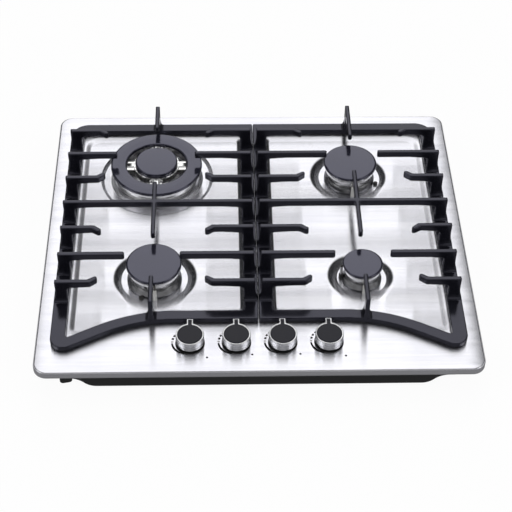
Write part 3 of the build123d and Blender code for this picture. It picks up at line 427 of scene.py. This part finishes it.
def soft_step(s, a, b, w):
    """0 before a, 1 after b, straight between, with bends of half width w."""

    def f(x):
        return np.where(x < -w, 0.0, np.where(x > w, x, (x + w) ** 2 / (4 * w)))

    return (f(s - a) - f(s - b)) / (b - a)


def loop_distance(p, loop):
    """Signed distance of points to a closed loop, positive inside."""
    a = np.array(loop, float)
    b = np.roll(a, -1, 0)
    ab = b - a
    best = np.full(len(p), 1e9)
    inside = np.zeros(len(p), bool)
    for k in range(len(a)):
        ap = p - a[k]
        t = np.clip((ap @ ab[k]) / (ab[k] @ ab[k]), 0, 1)
        best = np.minimum(best, ((ap - t[:, None] * ab[k]) ** 2).sum(1))
        c = (a[k, 1] > p[:, 1]) != (b[k, 1] > p[:, 1])
        with np.errstate(divide="ignore", invalid="ignore"):
            xi = a[k, 0] + (p[:, 1] - a[k, 1]) / (b[k, 1] - a[k, 1]) * ab[k, 0]
        inside ^= c & (p[:, 0] < xi)
    return np.where(inside, 1, -1) * np.sqrt(best)


def plate_height(p, loops):
    """Height of the upper face at plan points p (n, 2)."""
    z = np.full(len(p), Z_TOP)
    for lp in loops:
        s = loop_distance(p, lp)
        z -= REC_DEPTH * soft_step(s, 0.0, REC_WALL, 1.7)
    for key, (cx, cy) in BURNERS.items():
        r = np.hypot(p[:, 0] - cx, p[:, 1] - cy)
        r1, r2, rf = WELL_BEND[key], WELL_WALL[key], WELL_FLOOR[key]
        if key == "bl":
            z -= 3.0 * soft_step(-r, -r1, -rf, 0.4)
            z += 2.6 * soft_step(-r, -66.4, -62.0, 0.5)
        else:
            # a wide soft bend, a steady wall that ends in a crisp line, then up again a little
            drop = np.where(r > r2, (r1 - np.minimum(r, r1)) ** 2 / (2 * (r1 - r2)), (r1 - r2) / 2 + r2 - np.maximum(r, rf))
            front = np.clip((cy - p[:, 1]) / np.maximum(r, 1.0), 0.0, 1.0) ** 2
            steep = WELL_SLOPE * (1.0 - 0.38 * front)
            z -= steep * drop
            low = Z_TOP - REC_DEPTH - steep * ((r1 - r2) / 2 + r2 - rf)
            z += (Z_SEAT - low) * soft_step(-r, -rf + 0.3, -rf + 7.0, 0.5)
    return z


def circle(cx, cy, r, n):
    return [(cx + r * cos(2 * pi * k / n), cy + r * sin(2 * pi * k / n)) for k in range(n)]


def rr_loop(hx, hy, r, n=14, step=24.0):
    """Rounded rectangle, anticlockwise, with points along its sides."""
    out = []
    for cx, cy, a0 in ((hx - r, -hy + r, -90), (hx - r, hy - r, 0), (-hx + r, hy - r, 90), (-hx + r, -hy + r, 180)):
        arc = [(cx + r * cos(radians(a0 + 90 * k / n)), cy + r * sin(radians(a0 + 90 * k / n))) for k in range(n + 1)]
        if out:
            out += between(out[-1], arc[0], step)
        out += arc
    out += between(out[-1], out[0], step)
    return out


def between(a, b, step):
    d = sqrt((a[0] - b[0]) ** 2 + (a[1] - b[1]) ** 2)
    n = max(1, int(d / step))
    return [(a[0] + (b[0] - a[0]) * k / n, a[1] + (b[1] - a[1]) * k / n) for k in range(1, n)]


def densify(loop, step):
    out = []
    for k, a in enumerate(loop):
        out.append(a)
        out += between(a, loop[(k + 1) % len(loop)], step)
    return out


def build_plate():
    rec_r = densify(rounded(RECESS, True, 10), 10.0)
    rec_l = [(-x, y) for x, y in rec_r][::-1]
    co, edges = [], []

    def put(loop):
        base = len(co)
        co.extend([tuple(q) for q in loop])
        n = len(loop)
        edges.extend([(base + k, base + (k + 1) % n) for k in range(n)])

    outer = rr_loop(PLATE_W / 2, PLATE_D / 2, PLATE_R)
    rim_in = [tuple(q) for q in offset_loop(outer, 2.5)]
    put(rim_in)
    for lp in (rec_r, rec_l):
        for d in (-1.7, -0.85, 0.0, 0.85, 1.7, 3.75, 5.8, 7.3, 8.15, 9.0, 9.85, 10.7):
            put(offset_loop(lp, d))
    holes = []
    for key, (cx, cy) in BURNERS.items():
        r1, r2, rf = WELL_BEND[key], WELL_WALL[key], WELL_FLOOR[key]
        if key == "bl":
            rs = [r1 + 0.5, r1 + 0.2, r1, r1 - 0.2, r1 - 0.5, 79.0, rf + 0.5, rf + 0.2, rf, rf - 0.2, rf - 0.5, 74.0, 70.0, 67.0, 66.7, 66.4, 66.1, 65.8, 64.2, 62.6, 62.3, 62.0, 61.7, 61.4]
        else:
            rs = [r1 + 1.5] + [r1 + (r2 - r1) * k / 6 for k in range(7)] + [(r2 + rf) / 2, rf + 2, rf + 0.6, rf + 0.05, rf - 0.15, rf - 0.5, rf - 1.2, rf - 3.5, rf - 5.8, rf - 6.4, rf - 6.9, rf - 7.6]
        for r in rs:
            put(circle(cx, cy, r, 192))
        rh = CUP_R[key] + 0.4
        put(circle(cx, cy, rh, 96))
        holes.append((cx, cy, rh))
        for ox, oy in (ELECTRODE[key], THERMO[key]):
            put(circle(cx + ox, cy + oy, 3.4, 24))
            holes.append((cx + ox, cy + oy, 3.4))
    for kx in KNOB_X:
        put(circle(kx, KNOB_Y, 6.0, 32))
        holes.append((kx, KNOB_Y, 6.0))
    # loose points that keep the triangles of the flat parts a fair size
    gx = np.arange(-280, 281, 14.0)
    gy = np.arange(-240, 241, 14.0)
    grid = np.array([(x + (3.1 if j % 2 else -3.1), y) for j, y in enumerate(gy) for x in gx if abs(x) < 279])
    taken = np.array(co)
    keep = []
    for q in grid:
        if np.min(np.abs(taken - q).max(1)) > 3.0:
            keep.append(tuple(q))
    co.extend(keep)
    out = geometry.delaunay_2d_cdt([Vector(c) for c in co], edges, [], 0, 1e-5)
    v2 = np.array([tuple(v) for v in out[0]])
    tris = np.array(out[2])
    mid = v2[tris].mean(1)
    ok = loop_distance(mid, rim_in) > 0
    for cx, cy, r in holes:
        ok &= np.hypot(mid[:, 0] - cx, mid[:, 1] - cy) > r * 0.999
    tris = tris[ok]
    used = np.unique(tris)
    back = -np.ones(len(v2), int)
    back[used] = np.arange(len(used))
    v2, tris = v2[used], back[tris]
    e1, e2 = v2[tris[:, 1]] - v2[tris[:, 0]], v2[tris[:, 2]] - v2[tris[:, 0]]
    flip = e1[:, 0] * e2[:, 1] - e1[:, 1] * e2[:, 0] < 0
    tris[flip] = tris[flip][:, ::-1]
    z = plate_height(v2, (rec_r, rec_l))
    n = len(v2)
    top = np.column_stack([v2, z])
    low = np.column_stack([v2, z - 1.0])
    verts = [tuple(v) for v in top] + [tuple(v) for v in low]
    faces = [tuple(t) for t in tris] + [tuple(n + t[::-1]) for t in tris]
    # walls of the holes, and the boundary that carries the rim
    count = {}
    for t in tris:
        for a, b in ((t[0], t[1]), (t[1], t[2]), (t[2], t[0])):
            count[(a, b)] = 1
    border = {}
    for (a, b) in count:
        if (b, a) not in count:
            q = v2[a]
            hole = any(abs(np.hypot(q[0] - cx, q[1] - cy) - r) < 0.05 for cx, cy, r in holes)
            if hole:
                faces.append((a, n + a, n + b, b))
            else:
                border[a] = b
    start = next(iter(border))
    order = [start]
    while border[order[-1]] != start:
        order.append(border[order[-1]])
    loop = [tuple(v2[i]) for i in order]
    ring_prev = list(order)
    prof = [(2.5 - 2.5 * sin(radians(a)), 47.5 + 2.5 * cos(radians(a))) for a in (15, 30, 45, 60, 75, 90)]
    prof += [(0.0, 44.0), (0.0, 40.3), (0.3, 40.0), (0.7, 40.0), (1.0, 40.3), (1.0, 47.5)]
    prof += [(2.5 - 1.5 * sin(radians(a)), 47.5 + 1.5 * cos(radians(a))) for a in (60, 30)]
    for d, zz in prof:
        ring = offset_loop(loop, d - 2.5)
        base = len(verts)
        verts += [(q[0], q[1], zz) for q in ring]
        cur = list(range(base, base + len(ring)))
        for k in range(len(cur)):
            j = (k + 1) % len(cur)
            faces.append((ring_prev[k], cur[k], cur[j], ring_prev[j]))
        ring_prev = cur
    for k in range(len(order)):
        j = (k + 1) % len(order)
        faces.append((ring_prev[k], n + order[k], n + order[j], ring_prev[j]))
    ob = make("plate", verts, faces, "plate_steel", sharp=50.0)
    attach(ob, "chassis")
    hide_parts("top_plate")
    return ob


plate = build_plate()


# ---------------------------------------------------------------------------
# burners
# ---------------------------------------------------------------------------
def teeth(name, r0, r1, z0, z1, count, gap, slot, origin):
    """Crown of short blocks between the flame ports."""
    co, faces = [], []
    for k in range(count):
        c = 2 * pi * (k + 0.5) / count
        half = pi / count - gap / 2 / ((r0 + r1) / 2)
        steps = 3
        prof = [(r0, z0), (r0, z1 - 0.3), (r0 + 0.3, z1), (r1 - 0.3, z1), (r1, z1 - 0.3), (r1 - 0.05, z0)]
        base = len(co)
        for s in range(steps + 1):
            a = c - half + 2 * half * s / steps
            co += [(r * cos(a), r * sin(a), z) for r, z in prof]
        m = len(prof)
        for s in range(steps):
            for i in range(m):
                j = (i + 1) % m
                a, b = base + s * m, base + (s + 1) * m
                faces.append((a + i, a + j, b + j, b + i))
        faces.append(tuple(base + i for i in range(m))[::-1])
        faces.append(tuple(base + steps * m + i for i in range(m)))
    return make(name, co, faces, slot, origin)


for key in ("fl", "br", "fr"):
    cx, cy = BURNERS[key]
    rc, rb = CAP_R[key], CUP_R[key]
    dz = -2.0 if key == "fr" else 0.0
    o = (cx, cy, 0)
    cap = lathe("cap_" + key, [(0, 75.0 + dz), (rc - 2.2, 74.75 + dz, 6), (rc, 74.2 + dz, 1.3), (rc, 70.8 + dz, 0.6), (rc - 0.8, 70.3 + dz, 0.3), (rc - 8.0, 70.3 + dz, 0.2),
                               (rc - 8.0, 68.4 + dz, 0.3), (rc - 10.0, 68.4 + dz, 0.3), (rc - 10.0, 71.2 + dz, 0.2), (0, 71.2 + dz)], "cap_enamel", o, seg=5)
    fix_normals(cap)
    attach(cap, "cap_" + key)
    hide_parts("burner_cap_" + key)
    head = lathe("head_" + key, [(rc - 9.5, 49.0, 0.4), (rc - 7.0, 49.0, 0.4), (rc - 7.0, 56.4 + dz, 0.6), (rc - 3.9, 57.4 + dz, 0.7), (rc - 2.6, 63.0 + dz, 8),
                                 (rc - 2.25, 68.0 + dz, 0.2), (rc - 7.5, 68.0 + dz, 0.2), (rc - 7.5, 65.0 + dz, 0.3), (5.0, 65.0 + dz, 0.6), (5.0, 32.0, 0.3), (7.5, 32.0, 0.3),
                                 (7.5, 62.0 + dz, 0.5), (rc - 9.5, 62.0 + dz, 0.5)], "burner_alloy", o)
    crown = teeth("crown_" + key, rc - 7.5, rc - 2.2, 67.8 + dz, 70.0 + dz, 36 if rc > 30 else 24, 1.5, "burner_alloy", o)
    head = join([head, crown], "head_" + key)
    fix_normals(head)
    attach(head, "head_" + key)
    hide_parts("burner_head_" + key)
    fl = FLANGE[key]
    # the cup's collar and cone take cup_alloy, darkened to paint the shade beneath the head
    cup = lathe("cup_" + key, [(4.0, 12.5, 0.3), (8.5, 12.5, 0.4), (8.5, 18.5, 0.5), (rb, 18.5, 1.5), (rb, 43.9, 0.3), (fl, 43.9, 0.2), (fl, 46.0, 0.9), (rc - 3.6, 49.9, 1.6), (rc - 4.6, 51.5, 0.7),
                               (rc - 6.8, 51.5, 0.5), (rc - 6.8, 48.0, 1.0), (rb - 3.0, 46.0, 0.8), (rb - 3.0, 21.5, 1.5), (4.0, 21.5, 0.3)], "cup_alloy", o)
    fix_normals(cup)
    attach(cup, "chassis")
    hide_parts("burner_cup_" + key)

o = (*BURNERS["bl"], 0)
cap = lathe("cap_bl_ring", [(51.2, 68.9, 0.2), (51.2, 67.0, 0.3), (53.0, 67.0, 0.3), (53.0, 68.9, 0.2), (65.0, 68.9, 0.5), (65.6, 69.6, 0.5), (65.6, 73.5, 1.5), (63.4, 73.95, 5),
                            (54.6, 74.2, 20), (45.5, 73.95, 5), (43.4, 73.5, 1.3), (43.4, 69.6, 0.5), (44.0, 68.9, 0.4)], "cap_enamel", o, n=192, seg=5)
fix_normals(cap)
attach(cap, "cap_bl_ring")
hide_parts("burner_cap_bl_ring")
cap = lathe("cap_bl_centre", [(0, 79.2), (28.4, 78.95, 5), (30.4, 78.3, 1.6), (30.4, 74.0, 0.4), (30.0, 73.5, 0.3), (26.0, 73.5, 0.2), (26.0, 71.4, 0.3), (24.0, 71.4, 0.3), (24.0, 74.2, 0.2), (0, 74.2)], "cap_enamel", o, seg=5)
fix_normals(cap)
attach(cap, "cap_bl_centre")
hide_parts("burner_cap_bl_centre")
outer = lathe("head_bl", [(52.4, 50.5, 0.3), (54.7, 50.5, 0.3), (54.7, 56.0, 0.3), (59.0, 56.0, 0.5), (58.6, 59.5, 0.8), (62.2, 60.5, 0.6), (62.75, 66.8, 0.2), (58.0, 66.8, 0.2), (58.0, 64.0, 0.3),
                          (50.5, 64.0, 0.3), (50.5, 68.6, 0.3), (45.2, 68.6, 0.6), (44.8, 58.0, 0.6), (48.5, 56.5, 0.5), (52.4, 56.5, 0.3)], "burner_alloy", o, n=192)
crown = teeth("crown_bl", 58.0, 62.8, 66.6, 68.6, 60, 1.5, "burner_alloy", o)
inner = lathe("head_bl_in", [(5.0, 32.0, 0.3), (7.5, 32.0, 0.3), (7.5, 62.0, 0.5), (26.0, 62.0, 0.3), (26.0, 60.0, 0.5), (31.2, 60.0, 0.8), (32.8, 64.0, 0.8), (32.8, 71.2, 0.2), (27.0, 71.2, 0.2),
                             (27.0, 69.0, 0.3), (5.0, 69.0, 0.5)], "burner_alloy", o)
crown2 = teeth("crown_bl_in", 27.0, 32.8, 71.0, 73.2, 28, 1.5, "burner_alloy", o)
cup = lathe("cup_bl", [(4.0, 12.5, 0.3), (8.5, 12.5, 0.4), (8.5, 18.5, 0.5), (54.0, 18.5, 1.5), (54.0, 47.1, 0.3), (62.0, 47.1, 0.3), (61.8, 49.0, 0.8), (58.0, 56.0, 0.8), (55.0, 56.0, 0.5),
                       (55.0, 50.0, 0.6), (51.0, 48.0, 0.8), (51.0, 21.5, 1.5), (4.0, 21.5, 0.3)], "bowl_alloy", o, n=192)
fix_normals(cup)
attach(cup, "chassis")
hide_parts("burner_cup_bl")


def bridge(k):
    """One of the four arms of the triple crown head, with a raised rib."""
    top = rounded([(-9.5, 58.0, 0.6), (-9.5, 70.0, 1.2), (-4.6, 70.0, 1.4), (-3.5, 72.0, 0.8), (3.5, 72.0, 0.8), (4.6, 70.0, 1.4), (9.5, 70.0, 1.2), (9.5, 58.0, 0.6)], True, 3)
    a = radians(90 * k)
    co = []
    for r, lo, hi in ((31.6, 58.0, 72.0), (41.2, 58.0, 72.0), (42.4, 58.0, 71.2), (43.0, 58.0, 69.0), (46.4, 58.0, 67.5)):
        co += [(r * cos(a) - t * sin(a), r * sin(a) + t * cos(a), min(z, hi)) for t, z in top]
    m = len(top)
    faces = []
    for q in range(4):
        faces += [(q * m + i, q * m + (i + 1) % m, (q + 1) * m + (i + 1) % m, (q + 1) * m + i) for i in range(m)]
    faces += [tuple(range(m)), tuple(range(5 * m - 1, 4 * m - 1, -1))]
    return make("bridge_%d" % k, co, faces, "burner_alloy", o)


head = join([outer, crown, inner, crown2] + [bridge(k) for k in range(4)], "head_bl")
fix_normals(head)
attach(head, "head_bl")
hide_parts("burner_head_bl")

# igniters and flame sensors
EL_TOP = {"fl": 60.0, "br": 60.0, "fr": 58.0, "bl": 59.0}
TC_TOP = {"fl": 47.4, "br": 47.4, "fr": 67.0, "bl": 66.0}
ceramics, pins, sensors = [], [], []
for key, (cx, cy) in BURNERS.items():
    zt = EL_TOP[key]
    e = (cx + ELECTRODE[key][0], cy + ELECTRODE[key][1], 0)
    ceramics.append(lathe("ceramic_" + key, [(1.0, 30.0), (2.6, 30.0, 0.3), (2.6, 38.0, 0.3), (3.1, 39.0, 0.3), (3.1, 43.0, 0.3), (2.6, 44.0, 0.3), (2.6, zt - 1.5, 0.5), (1.8, zt, 0.4), (1.0, zt)], "ceramic_white", e, n=48))
    pins.append(lathe("pin_" + key, [(0, 26.0), (1.0, 26.0), (1.0, zt + 1.0, 0.2), (1.6, zt + 1.6, 0.3), (1.6, zt + 6.0, 0.5), (1.0, zt + 7.5, 0.3), (0, zt + 7.5)], "pin_steel", e, n=32))
    zt = TC_TOP[key]
    e = (cx + THERMO[key][0], cy + THERMO[key][1], 0)
    if zt < 50:
        prof = [(0, 30.0), (2.0, 30.0), (2.0, 37.0, 0.3), (3.1, 38.0, 0.3), (3.1, zt - 0.8, 0.4), (2.3, zt, 0.3), (0, zt)]
        sensors.append(lathe("sensor_" + key, prof, "sensor_dark", e, n=48))
    else:
        prof = [(0, 30.0), (2.0, 30.0), (2.0, 37.0, 0.3), (3.1, 38.0, 0.3), (3.1, 50.0, 0.4), (2.02, 50.6, 0.2), (0, 50.6)]
        sensors.append(lathe("sensor_" + key, prof, "sensor_dark", e, n=48))
        sensors.append(lathe("sensor_rod_" + key, [(0, 50.4), (2.0, 50.4), (2.0, zt - 2.6, 0.1), (0, zt - 2.6)], "spindle_steel", e, n=48))
        sensors.append(lathe("sensor_tip_" + key, [(0, zt - 2.7), (2.0, zt - 2.7), (2.0, zt - 1.5, 0.3), (1.2, zt, 0.4), (0, zt)], "sensor_dark", e, n=48))
for parts, node, slot in ((ceramics, "electrode_ceramics", "ceramic_white"), (pins, "electrode_pins", "pin_steel"), (sensors, "thermocouples", node_slot["thermocouples"])):
    piece = fix_normals(join(parts, "fitted_" + node))
    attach(piece, "chassis")
    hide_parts(node)

# ---------------------------------------------------------------------------
# knobs
# ---------------------------------------------------------------------------


def knob_outline(r, half, end, fil, tip):
    """Circle of radius r with a lug of half width half that ends at y = end; plan, anticlockwise."""
    pts = []
    yj = sqrt((r + fil) ** 2 - (half + fil) ** 2)
    aj = atan2(yj, half + fil)
    # body arc, from the left fillet round the front to the right fillet
    a0, a1 = pi - aj, 2 * pi + aj
    for k in range(121):
        a = a0 + (a1 - a0) * k / 120
        pts.append((r * cos(a), r * sin(a)))
    # right fillet
    for k in range(1, 7):
        a = aj + pi - (aj) * k / 6.0
        pts.append((half + fil + fil * cos(a), yj + fil * sin(a)))
    # right side and the rounded tip
    for k in range(0, 7):
        a = radians(90 * k / 6)
        pts.append((half - tip + tip * cos(a), end - tip + tip * sin(a)))
    for k in range(0, 7):
        a = radians(90 + 90 * k / 6)
        pts.append((-half + tip + tip * cos(a), end - tip + tip * sin(a)))
    for k in range(0, 6):
        a = -(aj) * 0 + 0.0 - aj * 0 + (0 - 0)
        a = 0.0 - 0.0 + (-(0.0)) + (-(aj)) * (k / 6.0)
        pts.append((-half - fil + fil * cos(a), yj + fil * sin(a)))
    return pts


def build_knob(i, x):
    out = knob_outline(18.3, 4.3, 26.1, 1.2, 1.2)
    inl = knob_outline(16.45, 2.5, 25.0, 0.9, 0.6)
    n = len(out)
    co, faces = [], []

    def ring(loop, z):
        base = len(co)
        co.extend([(q[0], q[1], z) for q in loop])
        return list(range(base, base + len(loop)))

    def bridge_rings(a, b):
        for k in range(len(a)):
            j = (k + 1) % len(a)
            faces.append((a[k], a[j], b[j], b[k]))

    # shell: lower edge, tall satin wall, soft upper edge, step down to the inlay seat
    body = knob_outline(18.35, 4.3, 26.1, 1.2, 1.2)
    spec = [(0.9, 54.35), (0.35, 54.2), (0.0, 54.5), (0.0, 57.4)]
    lower = circle_like(out, 18.35)
    rows = []
    for d, z in ((0.8, 54.2), (0.3, 54.2), (0.0, 54.5), (0.0, 57.3)):
        rows.append(ring([tuple(q) for q in offset_loop(lower, d)], z))
    for a, b in zip(rows, rows[1:]):
        bridge_rings(a, b)
    rows2 = []
    for d, z in ((0.5, 57.5), (0.0, 58.0), (0.0, 66.8), (0.12, 67.2), (0.4, 67.5), (0.7, 67.6), (1.0, 67.55), (1.15, 67.3)):
        rows2.append(ring([tuple(q) for q in offset_loop(out, d)], z))
    bridge_rings(rows[-1], rows2[0])
    for a, b in zip(rows2, rows2[1:]):
        bridge_rings(a, b)
    seat0 = ring(inl, 67.2)
    seat1 = ring(inl, 66.0)
    bridge_rings(rows2[-1], seat0)
    bridge_rings(seat0, seat1)
    faces.append(tuple(seat1))
    # hollow underside: inner wall, roof and the hub round the spindle
    small = circle(0, 0, 16.7, n)
    rot = [small[(k) % n] for k in range(n)]
    a_first = atan2(lower[0][1], lower[0][0])
    small = [(16.7 * cos(a_first + 2 * pi * k / n), 16.7 * sin(a_first + 2 * pi * k / n)) for k in range(n)]
    hub = [(6.5 * cos(a_first + 2 * pi * k / n), 6.5 * sin(a_first + 2 * pi * k / n)) for k in range(n)]
    bore = [(4.0 * cos(a_first + 2 * pi * k / n), 4.0 * sin(a_first + 2 * pi * k / n)) for k in range(n)]
    u0, u1 = ring(small, 54.2), ring(small, 63.6)
    h1, h0 = ring(hub, 63.6), ring(hub, 54.6)
    b0, b1 = ring(bore, 54.6), ring(bore, 63.9)
    for a, b in ((u0, rows[0]), (u1, u0), (h1, u1), (h0, h1), (b0, h0), (b1, b0)):
        bridge_rings(a, b)
    faces.append(tuple(b1[::-1]))
    sk = make("skirt_%d" % i, co, faces, "knob_metal", (x, KNOB_Y, 0))
    fix_normals(sk)
    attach(sk, "knob_%d" % i)
    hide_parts("knob_skirt_%d" % i)

    co, faces = [], []
    rows = []
    for d, z in ((0.05, 66.05), (0.05, 67.3), (0.15, 67.6), (0.4, 67.78), (0.8, 67.86)):
        rows.append(ring([tuple(q) for q in offset_loop(inl, d)], z))
    for a, b in zip(rows, rows[1:]):
        bridge_rings(a, b)
    # shallow dish across the face
    face = [tuple(q) for q in offset_loop(inl, 0.8)]
    prev = rows[-1]
    for f in (0.9, 0.75, 0.55, 0.35, 0.15):
        cur = ring([(q[0] * f, q[1] * f) for q in face], 67.9 - 0.05 * f)
        bridge_rings(prev, cur)
        prev = cur
    c = len(co)
    co.append((0, 0, 67.9))
    for k in range(n):
        faces.append((prev[k], prev[(k + 1) % n], c))
    faces.append(tuple(rows[0][::-1]))
    iv = make("inlay_%d" % i, co, faces, "knob_black", (x, KNOB_Y, 0))
    fix_normals(iv)
    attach(iv, "knob_%d" % i)
    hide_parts("knob_inlay_%d" % i)


def circle_like(outline, r):
    """The same number of points as outline, all on a circle."""
    return [(r * q[0] / sqrt(q[0] ** 2 + q[1] ** 2), r * q[1] / sqrt(q[0] ** 2 + q[1] ** 2)) for q in outline]


for i, x in enumerate(KNOB_X, 1):
    build_knob(i, x)

# ---------------------------------------------------------------------------
# pan grates: cast shapes with soft edges, grown from the frame's solids
# ---------------------------------------------------------------------------


def cast_copy(node, voxel, name):
    src = nodes[node]
    me = src.data.copy()
    ob = bpy.data.objects.new(name, me)
    scene.collection.objects.link(ob)
    w = ob.modifiers.new("weld", "WELD")
    w.merge_threshold = 0.00001
    r = ob.modifiers.new("grow", "REMESH")
    r.mode = "VOXEL"
    r.voxel_size = voxel
    r.adaptivity = 0.0
    s = ob.modifiers.new("soften", "SMOOTH")
    s.factor = 0.5
    s.iterations = 3
    bpy.context.view_layer.update()
    deps = bpy.context.evaluated_depsgraph_get()
    out = bpy.data.meshes.new_from_object(ob.evaluated_get(deps))
    ob.modifiers.clear()
    ob.data = out
    d = ob.modifiers.new("thin", "DECIMATE")
    d.decimate_type = "COLLAPSE"
    d.ratio = 0.35
    bpy.context.view_layer.update()
    deps = bpy.context.evaluated_depsgraph_get()
    out = bpy.data.meshes.new_from_object(ob.evaluated_get(deps))
    ob.modifiers.clear()
    ob.data = out
    out.shade_smooth()
    out.materials.clear()
    return ob


for side in ("left", "right"):
    g = cast_copy("grate_" + side, 0.0009, "casting_" + side)
    g.data.materials.append(M["grate_enamel"])
    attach(g, "grate_" + side)
    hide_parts("grate_" + side)


# ---------------------------------------------------------------------------
# printed marks round the knobs
# ---------------------------------------------------------------------------
def band(name, arcs, slot, origin, z=50.06):
    """Thin raised print: arcs of (a0, a1, r0 at a0, r0 at a1, width at a0, width at a1)."""
    co, faces = [], []
    for a0, a1, r0, r1, w0, w1 in arcs:
        n = max(2, int(abs(a1 - a0) / 3))
        base = len(co)
        for k in range(n + 1):
            t = k / n
            a = radians(a0 + (a1 - a0) * t)
            r, w = r0 + (r1 - r0) * t, w0 + (w1 - w0) * t
            for rr in (r - w / 2, r + w / 2):
                for zz in (z - 0.05, z):
                    co.append((rr * cos(a), rr * sin(a), zz))
        for k in range(n):
            a, b = base + 4 * k, base + 4 * (k + 1)
            for p, q in ((0, 1), (1, 3), (3, 2), (2, 0)):
                faces.append((a + p, a + q, b + q, b + p))
        faces.append((base, base + 1, base + 3, base + 2))
        e = base + 4 * n
        faces.append((e, e + 1, e + 3, e + 2))
    ob = make(name, co, faces, slot, origin, smooth=False)
    return fix_normals(ob)


DOTS = ((-68.0, -228.6), (-10.0, -224.3), (52.1, -224.2), (110.5, -227.7))
for i, x in enumerate(KNOB_X, 1):
    marks = band("marks_%d" % i, [(181, 212, 23.3, 22.0, 2.3, 3.0), (212, 250, 22.0, 19.6, 3.0, 1.6), (158, 166, 23.4, 23.4, 3.0, 3.0), (145, 153, 23.7, 23.7, 2.7, 2.7), (132, 139.5, 23.6, 23.6, 2.3, 2.3)],
                 "print_black", (x, KNOB_Y, 0))
    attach(marks, "chassis")
    pale = band("flame_mark_%d" % i, [(171.5, 177.5, 23.2, 23.2, 3.0, 3.0)], "print_pale", (x, KNOB_Y, 0))
    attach(pale, "chassis")
    dx, dy = DOTS[i - 1]
    dot = lathe("dot_%d" % i, [(0, 50.06), (1.45, 50.06, 0.02), (1.45, 50.0), (0, 50.0)], "print_black", (dx, dy, 0), n=24)
    fix_normals(dot)
    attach(dot, "chassis")


# ---------------------------------------------------------------------------
# floor, light
# ---------------------------------------------------------------------------
def world_light():
    """Pale studio: a broad light over the back and the top, quiet front and sides, and a soft strip at each side."""
    w = bpy.data.worlds.new("studio")
    scene.world = w
    w.use_nodes = True
    t = w.node_tree
    bg = t.nodes["Background"]
    tc = t.nodes.new("ShaderNodeTexCoord")
    sep = t.nodes.new("ShaderNodeSeparateXYZ")
    t.links.new(tc.outputs["Generated"], sep.inputs[0])
    X, Y, Z = sep.outputs["X"], sep.outputs["Y"], sep.outputs["Z"]

    def math(op, a, b=None):
        n = t.nodes.new("ShaderNodeMath")
        n.operation = op
        for q, v in zip(n.inputs, (a, b)):
            if isinstance(v, (int, float)):
                q.default_value = v
            elif v is not None:
                t.links.new(v, q)
        return n.outputs[0]

    def ramp(v, lo, hi, c0, c1):
        r = t.nodes.new("ShaderNodeMapRange")
        r.interpolation_type = "SMOOTHSTEP"
        for k, q in (("From Min", lo), ("From Max", hi), ("To Min", c0), ("To Max", c1)):
            r.inputs[k].default_value = q
        t.links.new(v, r.inputs["Value"])
        return r.outputs["Result"]

    ax = math("ABSOLUTE", X)
    high = math("MULTIPLY", ramp(Y, -0.22, 0.26, 0.0, 1.0), ramp(Z, -0.05, 0.45, 0.4, 1.0))
    wide = math("DIVIDE", ax, math("MAXIMUM", math("ADD", Z, 0.5), 0.2))
    across = math("MULTIPLY", ramp(wide, 0.14, 0.26, 1.0, 0.0), ramp(ax, 0.12, 0.38, BACK_MID, BACK_SIDE))
    main = math("MULTIPLY", high, across)
    # side strips
    dot = math("ADD", math("ADD", math("MULTIPLY", ax, 0.66), math("MULTIPLY", Y, -0.24)), math("MULTIPLY", Z, 0.71))
    strip = ramp(dot, 0.955, 0.99, 0.0, STRIP)
    # quieter light from the far sides and the front, for the views from there
    low = ramp(Z, -0.05, 0.3, 0.25, 1.0)
    side = math("MULTIPLY", ramp(wide, 0.68, 0.84, 0.0, FAR_SIDE), low)
    fore = math("MULTIPLY", ramp(Y, -0.75, -0.40, FAR_FRONT, 0.0), low)
    total = math("ADD", math("ADD", math("ADD", main, strip), math("MAXIMUM", side, fore)), AMBIENT)
    lp = t.nodes.new("ShaderNodeLightPath")
    mix = t.nodes.new("ShaderNodeMix")
    mix.data_type = "FLOAT"
    t.links.new(lp.outputs["Is Camera Ray"], mix.inputs["Factor"])
    t.links.new(total, mix.inputs["A"])
    mix.inputs["B"].default_value = 0.95
    bg.inputs["Color"].default_value = (1, 1, 1, 1)
    t.links.new(mix.outputs["Result"], bg.inputs["Strength"])


BACK_MID, BACK_SIDE, STRIP, AMBIENT = 1.46, 1.85, 2.4, 0.02
FAR_SIDE, FAR_FRONT = 0.65, 0.5
world_light()

# the floor is pale to the eye and stays quiet in the reflections
me = bpy.data.meshes.new("floor")
me.from_pydata([(-14, -14, 0), (14, -14, 0), (14, 14, 0), (-14, 14, 0)], [], [(0, 1, 2, 3)])
floor = bpy.data.objects.new("floor", me)
scene.collection.objects.link(floor)
fm = Mat("floor_pale", (0.06, 0.06, 0.06), 0.9)
fm.b.inputs["Specular IOR Level"].default_value = 0.0
fm.b.inputs["Emission Color"].default_value = (1, 1, 1, 1)
lp = fm.add("ShaderNodeLightPath")
far = fm.add("ShaderNodeVectorMath", operation="LENGTH")
fm.link(fm.place(), far.inputs[0])
glow = fm.add("ShaderNodeMix", data_type="FLOAT")
fm.link(lp.outputs["Is Camera Ray"], glow.inputs["Factor"])
fm.link(fm.ramp(far.outputs["Value"], 0.42, 0.75, 0.21, 0.05), glow.inputs["A"])
glow.inputs["B"].default_value = 0.955
fm.link(glow.outputs["Result"], fm.b.inputs["Emission Strength"])
me.materials.append(fm.m)
